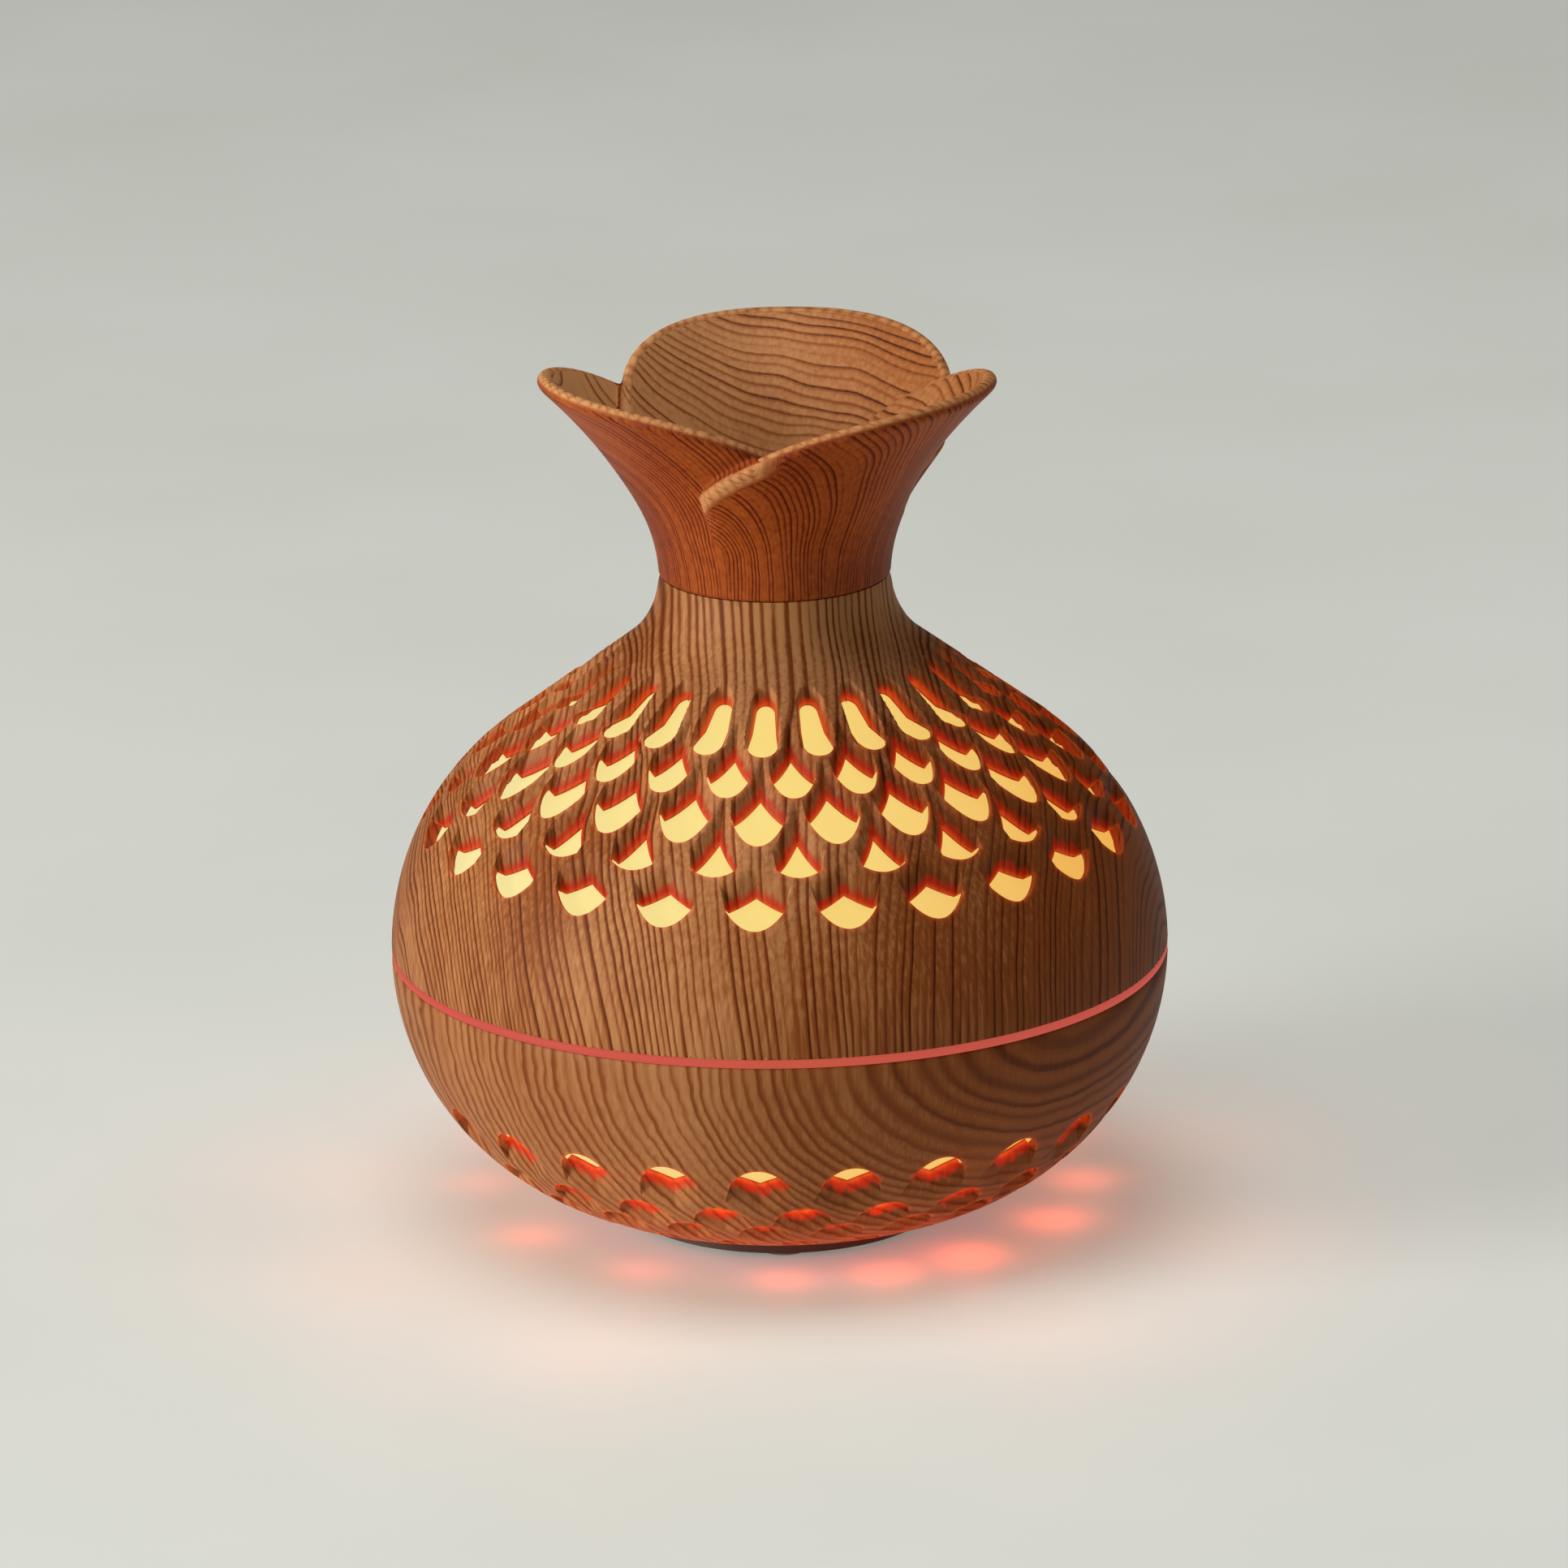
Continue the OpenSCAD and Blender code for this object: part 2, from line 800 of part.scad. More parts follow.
module at_feet() {
    for (a = foot_angles)
        rotate(a) translate([foot_ring_r, 0, 0]) children();
}

module base_cover() {
    vent = [7, 1.8, 9];
    vent_r = 5;
    head_room_r = 2.9;
    color("saddlebrown")
        difference() {
            union() {
                translate([0, 0, cover_z]) cylinder(h = cover_top - cover_z, r = cover_r - 0.1);
                at_stands()
                    translate([0, 0, cover_top - eps]) cylinder(h = board_z - cover_top + eps, r = stand_r);
            }
            at_stands() translate([0, 0, cover_top - 1]) cylinder(h = 9, r = board_screw_r);
            at_posts() cylinder(h = 9, r = base_screw_r + 0.25);
            at_posts() cylinder(h = base_screw_z, r = head_room_r);
            at_feet() cylinder(h = foot_h, r = foot_r);
            for (a = [30:60:330])
                rotate(a) translate([vent_r, -vent.y / 2, 0]) cube(vent);
        }
}

module base_screws() {
    color("silver")
        at_posts() translate([0, 0, base_screw_z]) screw(2.6, 1.5, base_screw_r, base_screw_l);
}

module rubber_feet() {
    color("gray") at_feet() cylinder(h = foot_h, r = foot_r);
}

petal_collar();
upper_shell();
upper_liner();
mist_chimney();
splash_baffle();
light_ring();
lower_shell();
lower_liner();
water_tank();
air_duct();
support_posts();
lid_seal();
duct_cap();
transducer_disc();
transducer_seal();
transducer_retainer();
retainer_screws();
fan_plenum();
fan_housing();
fan_coil();
fan_screws();
fan_impeller();
fan_magnet();
main_board();
board_components();
heat_sink();
board_screws();
led_board();
leds();
power_socket();
socket_pin();
button_boards();
switch_bodies();
mist_button();
mist_plunger();
light_button();
light_plunger();
base_cover();
base_screws();
rubber_feet();
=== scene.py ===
"""Looks of the vase-shaped oil diffuser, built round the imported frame.

Lengths inside the shape functions are millimetres and are scaled to metres when a mesh is made.
Angles round the body are degrees from the front (-Y), growing towards +X.
"""
import math

import bmesh
import bpy
import numpy as np
from mathutils import Matrix, Vector
from mathutils.geometry import delaunay_2d_cdt


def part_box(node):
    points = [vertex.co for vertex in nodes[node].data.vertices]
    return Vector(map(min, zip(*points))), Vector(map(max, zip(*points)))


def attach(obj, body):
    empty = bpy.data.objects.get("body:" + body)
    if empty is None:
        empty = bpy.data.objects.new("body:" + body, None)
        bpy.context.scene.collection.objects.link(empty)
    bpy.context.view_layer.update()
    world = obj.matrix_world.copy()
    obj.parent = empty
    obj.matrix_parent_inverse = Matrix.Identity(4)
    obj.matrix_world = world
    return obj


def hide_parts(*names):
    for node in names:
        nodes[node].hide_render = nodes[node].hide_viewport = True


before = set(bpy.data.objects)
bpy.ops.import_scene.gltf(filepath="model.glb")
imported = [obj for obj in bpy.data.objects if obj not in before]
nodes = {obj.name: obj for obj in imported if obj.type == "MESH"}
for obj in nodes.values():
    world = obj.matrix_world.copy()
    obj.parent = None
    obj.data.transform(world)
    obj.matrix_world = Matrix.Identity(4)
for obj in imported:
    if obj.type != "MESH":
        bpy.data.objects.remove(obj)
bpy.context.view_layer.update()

MM = 0.001


def side_mm(node, end, axis):
    """Where a node's box ends, at its low end 0 or its high end 1."""
    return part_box(node)[end][axis] / MM


# ------------ shared dimensions, millimetres

BELLY_R = side_mm("light_ring", 1, 0)
RING_LOW = side_mm("light_ring", 0, 2)
RING_TOP = side_mm("light_ring", 1, 2)
NECK_Z = side_mm("upper_shell", 1, 2)
SPIGOT_LOW = side_mm("petal_collar", 0, 2)
BELLY_Z = 43.5
DOME_ARC = 41.7
BOWL_ARC = 40.6
NECK_R = 17.8
NECK_ARC = 14.0
WALL = 2.5
COVER_R = 24.0
COLUMNS = 24
COLUMN_PHASE = -3.9
HALF_PITCH = 180 / COLUMNS

# Arc length along the outer profile; S_BELLY is its value at the widest line
S_BELLY = 61.8
DOME_C = np.array([BELLY_R - DOME_ARC, BELLY_Z])
BOWL_C = np.array([BELLY_R - BOWL_ARC, BELLY_Z])
NECK_C = np.array([NECK_R + NECK_ARC, NECK_Z])
SPAN = NECK_C - DOME_C
SHOULDER = math.atan2(SPAN[1], SPAN[0]) - math.acos((DOME_ARC + NECK_ARC) / np.hypot(*SPAN))
S_SHOULDER = S_BELLY + DOME_ARC * SHOULDER
SHOULDER_LEN = math.sqrt(float(SPAN @ SPAN) - (DOME_ARC + NECK_ARC) ** 2)
S_NECK = S_SHOULDER + SHOULDER_LEN
S_SEAM = S_NECK + NECK_ARC * SHOULDER


def profile(s):
    """Radius, height and outward direction of the outer profile at arc length s."""
    s = np.asarray(s, float)
    bowl = (s - S_BELLY) / BOWL_ARC
    dome = np.minimum((s - S_BELLY) / DOME_ARC, SHOULDER)
    neck = SHOULDER - np.clip((s - S_NECK) / NECK_ARC, 0, SHOULDER)
    direction = np.where(s < S_BELLY, bowl, np.where(s < S_NECK, dome, neck))
    c, n = np.cos(direction), np.sin(direction)
    along = np.clip(s - S_SHOULDER, 0, SHOULDER_LEN)
    r = np.where(s < S_BELLY, BOWL_C[0] + BOWL_ARC * c, DOME_C[0] + DOME_ARC * c - along * n)
    z = np.where(s < S_BELLY, BOWL_C[1] + BOWL_ARC * n, DOME_C[1] + DOME_ARC * n + along * c)
    in_neck = s >= S_NECK
    r = np.where(in_neck, NECK_C[0] - NECK_ARC * c, r)
    z = np.where(in_neck, NECK_C[1] - NECK_ARC * n, z)
    return r, z, c, n


def s_at_height(z):
    """Arc length at height z on the bowl or the dome's round part."""
    arc = BOWL_ARC if z < BELLY_Z else DOME_ARC
    return S_BELLY + arc * math.asin((z - BELLY_Z) / arc)


def smoothstep(x):
    x = np.clip(x, 0, 1)
    return x * x * (3 - 2 * x)


def srgb(r, g, b):
    """Linear colour of an sRGB triple given from 0 to 255."""
    return tuple((v / 12.92 if v <= 0.04045 else ((v + 0.055) / 1.055) ** 2.4)
                 for v in (r / 255, g / 255, b / 255)) + (1.0,)


# ------------ mesh helpers

def linked(name, data):
    """A new object in the scene from a mesh, a light or a camera."""
    obj = bpy.data.objects.new(name, data)
    bpy.context.scene.collection.objects.link(obj)
    return obj


def store(mesh, fields):
    """Vertex attributes from {name: one value for each vertex}."""
    for key, values in fields.items():
        layer = mesh.attributes.new(key, "FLOAT", "POINT")
        layer.data.foreach_set("value", np.asarray(values, np.float32))


def new_object(name, verts, faces):
    """Mesh object from millimetre points."""
    mesh = bpy.data.meshes.new(name)
    mesh.from_pydata((np.asarray(verts, float) * MM).tolist(), [], [list(f) for f in faces])
    return linked(name, mesh)


def finish_mesh(obj, sharp_deg=35, merge_mm=0.002):
    """Merges doubles, turns the faces outwards and marks the sharp edges."""
    bm = bmesh.new()
    bm.from_mesh(obj.data)
    bmesh.ops.remove_doubles(bm, verts=bm.verts, dist=merge_mm * MM)
    bmesh.ops.dissolve_degenerate(bm, edges=bm.edges, dist=merge_mm * MM)
    bmesh.ops.recalc_face_normals(bm, faces=bm.faces)
    limit = math.radians(sharp_deg)
    for face in bm.faces:
        face.smooth = True
    for edge in bm.edges:
        edge.smooth = len(edge.link_faces) == 2 and edge.calc_face_angle(0) < limit
    bm.to_mesh(obj.data)
    bm.free()
    return obj


def apply_modifiers(obj):
    depsgraph = bpy.context.evaluated_depsgraph_get()
    mesh = bpy.data.meshes.new_from_object(obj.evaluated_get(depsgraph))
    obj.modifiers.clear()
    obj.data = mesh


def quads(count, n, closed):
    """Faces between successive sections of n points; closed joins the last section to the first."""
    return [(i * n + j, i * n + (j + 1) % n, (i + 1) % count * n + (j + 1) % n, (i + 1) % count * n + j)
            for i in range(count if closed else count - 1) for j in range(n)]


def lathe(name, outline, steps=256):
    """Closed solid of revolution from an outline of (radius, height) points."""
    outline = np.asarray(outline, float)
    angles = np.arange(steps) * 2 * math.pi / steps
    verts = np.stack([np.outer(np.cos(angles), outline[:, 0]).ravel(),
                      np.outer(np.sin(angles), outline[:, 0]).ravel(),
                      np.tile(outline[:, 1], steps)], 1)
    return new_object(name, verts, quads(steps, len(outline), True))


# ------------ carved shells

class Opening:
    """One scooped opening. x is degrees from its middle and y millimetres of arc from its tip.

    A sharp U edge lies at the tip. Its arms run on past the corners. The far side is two arcs that
    meet in a peak, and from them a ramp climbs to the full surface between the arms. Column 0 lies
    on the first side of the half sector and column 1 on its second; up is -1 on the bowl.
    """

    def __init__(self, tip, half, drop, power, arm, rise, bend, ramp, column, up=1, lean=0.3):
        self.tip, self.half, self.drop, self.power = tip, half, drop, power
        self.arm, self.rise, self.bend, self.ramp = arm, rise, bend, ramp
        self.column, self.up = column, up
        self.mm = float(profile(tip + up * drop)[0]) * math.pi / 180
        self.lean = lean / self.mm
        self.top = drop + arm

    def arm_x(self, y):
        """Half width at height y, on the U and then on its arms."""
        y = np.asarray(y, float)
        on_u = self.half * np.power(np.clip(y / self.drop, 0, 1), 1 / self.power)
        return np.where(y < self.drop, on_u, self.half + (y - self.drop) * self.lean)

    def arc_y(self, x):
        """Height of the far edge at x degrees from the middle."""
        width = float(self.arm_x(self.top))
        return self.top + self.rise * np.power(np.clip(1 - np.abs(x) / width, 0, 1), self.bend)

    def u_points(self, steps=14):
        t = np.linspace(0, 1, steps)
        t = t * (1.6 - 0.6 * t)
        return [(self.half * v, self.drop * v ** self.power) for v in t]

    def outline(self):
        """Half outline, from the tip round to the peak."""
        width = float(self.arm_x(self.top))
        points = self.u_points()
        points += [(float(self.arm_x(y)), y) for y in np.linspace(self.drop, self.top, 3)[1:]]
        points += [(x, float(self.arc_y(x))) for x in width * np.cos(np.linspace(0, math.pi / 2, 11))[1:]]
        return points

    def to_sector(self, x, y):
        """From the opening's own x, y to the half sector's degrees and arc length."""
        return (x if self.column == 0 else HALF_PITCH - x), self.tip + self.up * y

    def local(self, theta, s):
        x = theta if self.column == 0 else HALF_PITCH - theta
        return x, (s - self.tip) * self.up

    def climb(self, x, y):
        """0 at the far edge, 1 where the ramp reaches the surface."""
        width = float(self.arm_x(self.top))
        part = np.clip(1 - np.abs(x) / width, 0.02, 1)
        slope = self.rise * self.bend / (width * self.mm) * np.power(part, self.bend - 1)
        distance = (y - self.arc_y(x)) / np.sqrt(1 + slope ** 2)
        return distance / self.ramp

    def depth(self, theta, s):
        """How far the ramp lies under the full surface."""
        x, y = self.local(theta, s)
        climb = self.climb(x, y)
        inside = (self.arm_x(y) - np.abs(x)) * self.mm
        ramp = np.power(1 - np.clip(climb, 0, 1), RAMP_CURVE)
        return RAMP_DEPTH * ramp * smoothstep(inside / STEP_W) * (y > self.drop - 0.2) * (climb > -0.5)


class Slot(Opening):
    """A long opening with straight sides, a round far end and narrow slopes along its sides."""

    def __init__(self, tip, half, far_half, drop, length, cap, ramp, side, column, up=1):
        # A slot has an outline of its own, so the power and the bend aren't used
        super().__init__(tip, half, drop, 1, length, cap, 1, ramp, column, up, 0)
        self.lean = (far_half - half) / length
        self.side = side

    def arm_x(self, y):
        y = np.asarray(y, float)
        on_u = self.half * np.sqrt(1 - (1 - np.clip(y / self.drop, 0, 1)) ** 2)
        return np.where(y < self.drop, on_u, self.half + (y - self.drop) * self.lean)

    def arc_y(self, x):
        width = float(self.arm_x(self.top))
        return self.top + self.rise * np.sqrt(np.clip(1 - (x / width) ** 2, 0, 1))

    def u_points(self, steps=12):
        turns = np.linspace(0, math.pi / 2, steps)
        return [(self.half * math.sin(t), self.drop * (1 - math.cos(t))) for t in turns]

    def depth(self, theta, s):
        x, y = self.local(theta, s)
        width = self.arm_x(y)
        beside = (np.abs(x) - width) * self.mm / self.side
        above = (y - self.arc_y(x)) / self.ramp
        above = np.where(y > self.top, above, 0)
        edge = np.where(y > self.top, np.hypot(np.clip(beside, 0, None), np.clip(above, 0, None)),
                        np.clip(beside, 0, None))
        start = smoothstep((y - self.drop * 0.5) / (self.top * 0.35))
        return RAMP_DEPTH * np.power(np.clip(1 - edge, 0, 1), SIDE_CURVE) * start


# Depth of the ramps at the far edge, how it falls off, and width of the step beside them
RAMP_DEPTH = 2.1
RAMP_CURVE = 1.25
SIDE_CURVE = 1.1
STEP_W = 0.22
# A ramp fades out this far from another opening's U edge
CLEAR_OF_U = 1.1
# Wall left at an edge and under a ramp, and its growth for each millimetre away
LIP_T = 0.7
THIN_EDGE = 0.4
RELIEF = 0.9
EDGE_ROUND = 0.3
# Width of the painted glow line along an opening, and how much painted glow the inner face has
RIM_GLOW_W = 0.28
INNER_RAMP_GLOW = 0.7
INNER_RIM_GLOW = 0.15
# A degree is drawn this many units wide beside a millimetre of arc when the sector is meshed
DEG_SCALE = 0.8
# Rows of mesh points: step close to a rim, over the carved part and over the plain part
RIM_ZONE = 0.45
RIM_STEP = 0.1
CARVED_STEP = 0.55
PLAIN_STEP = 1.8

# Tip, half width in degrees, drop and power of the U, arm, rise and bend of the far side, ramp, column
DOME_OPENINGS = [
    Slot(111.7, 4.0, 3.2, drop=2.1, length=7.8, cap=1.5, ramp=1.9, side=0.75, column=0),
    Opening(104.0, 5.3, 3.9, 2.3, 0.25, 4.3, 1.35, 3.4, 1, lean=0.12),
    Opening(95.4, 5.5, 4.8, 2.1, 0.25, 4.6, 1.3, 3.6, 0, lean=0.12),
    Opening(90.1, 4.0, 1.3, 2.0, 0.2, 5.2, 1.35, 3.4, 1, lean=0.2),
    Opening(81.8, 4.75, 3.1, 2.0, 0.2, 2.55, 1.2, 3.8, 0),
]
BOWL_OPENINGS = [
    Opening(42.5, 4.5, 3.0, 2.2, 0.7, 2.1, 1.3, 4.2, 0, up=-1),
    Opening(33.0, 4.7, 2.8, 2.2, 0.6, 1.8, 1.3, 3.2, 1, up=-1),
    Opening(27.0, 4.6, 2.4, 2.2, 0.5, 1.6, 1.3, 2.8, 0, up=-1),
    Opening(19.0, 4.2, 1.9, 2.2, 0.4, 1.3, 1.3, 2.4, 1, up=-1),
]


def polyline_distance(points, theta, s):
    """Distance in millimetres of arc from each (theta, s) to the nearest of the points."""
    mm = profile(s)[0] * math.pi / 180
    best = np.full(len(theta), 1e9)
    for a, b in zip(points[:-1], points[1:]):
        ax, ay = (a[0] - theta) * mm, a[1] - s
        bx, by = (b[0] - theta) * mm, b[1] - s
        dx, dy = bx - ax, by - ay
        t = np.clip(-(ax * dx + ay * dy) / np.maximum(dx * dx + dy * dy, 1e-9), 0, 1)
        best = np.minimum(best, np.hypot(ax + t * dx, ay + t * dy))
    return best


def inside_polygon(points, x, y):
    count = np.zeros(len(x), int)
    for (x1, y1), (x2, y2) in zip(points, points[1:] + points[:1]):
        crosses = (y1 > y) != (y2 > y)
        at = x1 + (y - y1) / np.where(abs(y2 - y1) < 1e-12, 1e-12, y2 - y1) * (x2 - x1)
        count += crosses & (x < at)
    return count % 2 == 1


def distance_from_u(opening, theta, s):
    """Distance to the opening's U edge, on both sides of its axis."""
    points = [opening.to_sector(*p) for p in opening.u_points()]
    axis = 0 if opening.column == 0 else HALF_PITCH
    mirrored = [(2 * axis - a, b) for a, b in points]
    return np.minimum(polyline_distance(points, theta, s), polyline_distance(mirrored, theta, s))


def shell_fields(openings, outlines, theta, s, s_low, s_high):
    """Depth of the outer and the inner face, and the glow, at each point of a half sector.

    The wall is relieved from behind, so that it is thin all round each opening.
    """
    depth = np.zeros(len(theta))
    near = [distance_from_u(opening, theta, s) for opening in openings]
    for k, opening in enumerate(openings):
        others = [near[j] for j in range(len(openings)) if j != k]
        clear = smoothstep(np.min(others, axis=0) / CLEAR_OF_U)
        depth = np.maximum(depth, opening.depth(theta, s) * clear)
    ramp_glow = depth / RAMP_DEPTH
    edge = np.min([polyline_distance(points, theta, s) for points in outlines], axis=0)
    rim_glow = np.exp(-edge / RIM_GLOW_W)
    behind = np.minimum(WALL, np.maximum(depth + THIN_EDGE, LIP_T + edge * RELIEF))
    for rim in (s_low, s_high):
        t = np.clip(np.abs(s - rim) / EDGE_ROUND, 0, 1)
        depth = np.maximum(depth, EDGE_ROUND * (1 - np.sqrt(1 - (1 - t) ** 2)))
    return depth, behind, ramp_glow, rim_glow


def row_heights(s_low, s_high, carved):
    """Arc lengths of the rows of mesh points, close together near the rims and where it is carved."""
    rows = []
    s = s_low
    while s < s_high - RIM_STEP / 2:
        rows.append(s)
        if min(s - s_low, s_high - s) < RIM_ZONE:
            s += RIM_STEP
        elif carved[0] <= s <= carved[1]:
            s += CARVED_STEP
        else:
            s += PLAIN_STEP
    return rows + [s_high]


def sector_points(openings, s_low, s_high, carved):
    """Points and constraint edges of half a sector, in (degrees * DEG_SCALE, arc length)."""
    points, edges = [], []

    def chain(line):
        start = len(points)
        points.extend((a * DEG_SCALE, b) for a, b in line)
        edges.extend((start + i, start + i + 1) for i in range(len(line) - 1))

    for theta in (0, HALF_PITCH):
        chain([(theta, s_low), (theta, s_high)])
    for value in (s_low, s_high):
        chain([(t, value) for t in np.linspace(0, HALF_PITCH, 7)])
    for opening in openings:
        chain([opening.to_sector(*p) for p in opening.outline()])
        if not isinstance(opening, Slot):
            ys = np.linspace(opening.top, opening.top + opening.ramp * 0.95, 7)
            line = [(x, y) for x, y in zip(opening.arm_x(ys), ys) if x < HALF_PITCH - 0.15]
            for inset in (0, STEP_W / opening.mm):
                chain([opening.to_sector(float(x) - inset, float(y)) for x, y in line])
    outlines = [[opening.to_sector(*p) for p in opening.outline()] for opening in openings]
    grid = []
    for i, value in enumerate(row_heights(s_low, s_high, carved)[1:-1]):
        fine = carved[0] <= value <= carved[1]
        count = 13 if fine else 5
        shift = 0.5 * (i % 2) if fine else 0
        ts = (np.arange(count) + shift) / (count - 1) * HALF_PITCH
        grid += [(t, value) for t in ts if 0.2 < t < HALF_PITCH - 0.2]
        grid += [(0, value), (HALF_PITCH, value)]
    grid = np.array(grid)
    distance = np.min([polyline_distance(o, grid[:, 0], grid[:, 1]) for o in outlines], axis=0)
    on_side = (grid[:, 0] == 0) | (grid[:, 0] == HALF_PITCH)
    keep = (distance > 0.22) | (on_side & (distance > 0.12))
    points.extend((a * DEG_SCALE, b) for a, b in grid[keep])
    return points, edges, outlines


def outside_openings(openings, outlines, theta, s):
    """True for each point in none of the openings."""
    keep = np.ones(len(theta), bool)
    for outline, opening in zip(outlines, openings):
        past_axis = -1 if opening.column == 0 else HALF_PITCH + 1
        closed = outline + [(past_axis, outline[-1][1]), (past_axis, outline[0][1])]
        keep &= ~inside_polygon(closed, theta, s)
    return keep


def rim_edges(tris, theta):
    """Edges used by one triangle only, apart from those on the sides, where the mirror image joins."""
    first_use = {}
    for a, b, c in tris:
        for edge in ((a, b), (b, c), (c, a)):
            key = (min(edge), max(edge))
            first_use[key] = None if key in first_use else edge
    on_side = (theta == 0) | (theta == HALF_PITCH)
    inner = {(a, b) for a, b in first_use if on_side[a] and on_side[b] and theta[a] == theta[b]}
    return [edge for key, edge in first_use.items() if edge is not None and key not in inner]


def carved_shell(name, s_low, s_high, openings, carved):
    """Shell with its carved openings: half a sector is meshed, mirrored and repeated round."""
    points, edges, outlines = sector_points(openings, s_low, s_high, carved)
    result = delaunay_2d_cdt([Vector(p) for p in points], edges, [], 0, 1e-5)
    flat = np.array([tuple(v) for v in result[0]])
    tris = np.array([f for f in result[2] if len(f) == 3])
    theta, s = flat[:, 0] / DEG_SCALE, flat[:, 1]
    theta = np.where(abs(theta) < 1e-3, 0, np.where(abs(theta - HALF_PITCH) < 1e-3, HALF_PITCH, theta))
    tris = tris[outside_openings(openings, outlines, theta[tris].mean(1), s[tris].mean(1))]
    depth, behind, ramp_glow, rim_glow = shell_fields(openings, outlines, theta, s, s_low, s_high)
    count = len(theta)
    verts, faces = [], []
    r, z, c, n = profile(s)
    depths = np.concatenate([depth, behind])
    radius = np.tile(r, 2) - depths * np.tile(c, 2)
    height = np.tile(z, 2) - depths * np.tile(n, 2)
    part = [tuple(t) for t in tris]
    part += [(a + count, c + count, b + count) for a, b, c in tris]
    part += [(b, a, a + count, b + count) for a, b in rim_edges(tris, theta)]
    for k in range(COLUMNS):
        for side in (1, -1):
            angle = np.radians(COLUMN_PHASE + k * 2 * HALF_PITCH + side * np.tile(theta, 2))
            base = len(verts) * 2 * count
            verts.append(np.stack([radius * np.sin(angle), -radius * np.cos(angle), height], 1))
            turn = [tuple(i + base for i in f) for f in part]
            faces += turn if side == 1 else [f[::-1] for f in turn]
    inner_ramp = np.full(count, INNER_RAMP_GLOW)
    shell = new_object(name, np.concatenate(verts), faces)
    store(shell.data, {
        "ramp_glow": np.tile(np.concatenate([ramp_glow, inner_ramp]), 2 * COLUMNS),
        "rim_glow": np.tile(np.concatenate([rim_glow, INNER_RIM_GLOW * rim_glow]), 2 * COLUMNS)})
    return finish_mesh(shell)


# Radius of the round hole that each rear piece sits in
REAR_HOLES = {"power_socket": 5.3, "mist_button": 4.06, "light_button": 4.06}
CUTTER_AT_R = 55.0
CUTTER_LENGTH = 20.0


def cut_rear_holes(shell):
    """Cuts the round holes of the power socket and of the two buttons."""
    cutters = []
    for node, radius in REAR_HOLES.items():
        low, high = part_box(node)
        middle = (low + high) / 2
        angle = math.atan2(middle.y, middle.x)
        place = (CUTTER_AT_R * MM * math.cos(angle), CUTTER_AT_R * MM * math.sin(angle), middle.z)
        bpy.ops.mesh.primitive_cylinder_add(vertices=96, radius=radius * MM, depth=CUTTER_LENGTH * MM,
                                            location=place,
                                            rotation=(math.pi / 2, 0, angle - math.pi / 2))
        cutters.append(bpy.context.object)
    for cutter in cutters:
        cut = shell.modifiers.new("hole", "BOOLEAN")
        cut.operation = "DIFFERENCE"
        cut.solver = "EXACT"
        cut.object = cutter
    apply_modifiers(shell)
    for cutter in cutters:
        bpy.data.objects.remove(cutter)
    finish_mesh(shell)


# ------------ petal mouth

PETALS = 3
PETAL_PITCH = 360 / PETALS
HALF_PETAL = PETAL_PITCH / 2
PETAL_PHASE = 56.5
# A petal runs on past its half pitch, dives under its neighbour at LEAF_DIVE and ends at LEAF_END
LEAF_DIVE = 79.0
LEAF_END = 86.0
LEAF_LOW = 104.0
LEAF_T = 2.3
LIP_R = LEAF_T / 2
# The lip is highest in the middle of a petal, sinks to the notch and then follows the tail down
LIP_Z = 133.9
NOTCH = 6.62
NOTCH_POWER = 2.8
TAIL_SLOPE = 0.269
TAIL_CURVE = 0.00225
FLARE_K = 0.0366
FLARE_POWER = 1.8
# How far the petals part where they lap, how far the tail tucks in, and over which heights
LAP_SHIFT = 1.55
LAP_HIDE = 0.77
LAP_LOW = 110.0
LAP_RISE = 12.0
# Tube under the petals: it fills the shell's neck and carries the mist chimney
SPIGOT_R = 15.1
BORE_R = 13.6
MERGE_Z = 113.0
VOXEL = 0.34


def flare(z):
    return NECK_R + FLARE_K * np.power(np.clip(z - NECK_Z, 0, None), FLARE_POWER)


def flare_slope(z):
    return FLARE_K * FLARE_POWER * np.power(np.clip(z - NECK_Z, 1e-6, None), FLARE_POWER - 1)


def lip_z(psi):
    """Height of the middle of the rounded lip, psi degrees from the petal's middle."""
    a = np.abs(psi)
    over = np.maximum(a - HALF_PETAL, 0)
    crown = LIP_Z - NOTCH * (np.minimum(a, HALF_PETAL) / HALF_PETAL) ** NOTCH_POWER
    return crown - TAIL_SLOPE * over - TAIL_CURVE * over ** 2


def leaf_shift(psi, z):
    """Outwards where the petal covers the next one, inwards where it tucks under."""
    a = np.abs(psi)
    blend = smoothstep((a - LEAF_DIVE) / (LEAF_END - LEAF_DIVE))
    tail = np.sign(-np.asarray(psi)) * (LAP_SHIFT * (1 - blend) - LAP_HIDE * blend)
    lap = np.where(a <= HALF_PETAL, -LAP_SHIFT * psi / HALF_PETAL, tail)
    return lap * smoothstep((z - LAP_LOW) / LAP_RISE)


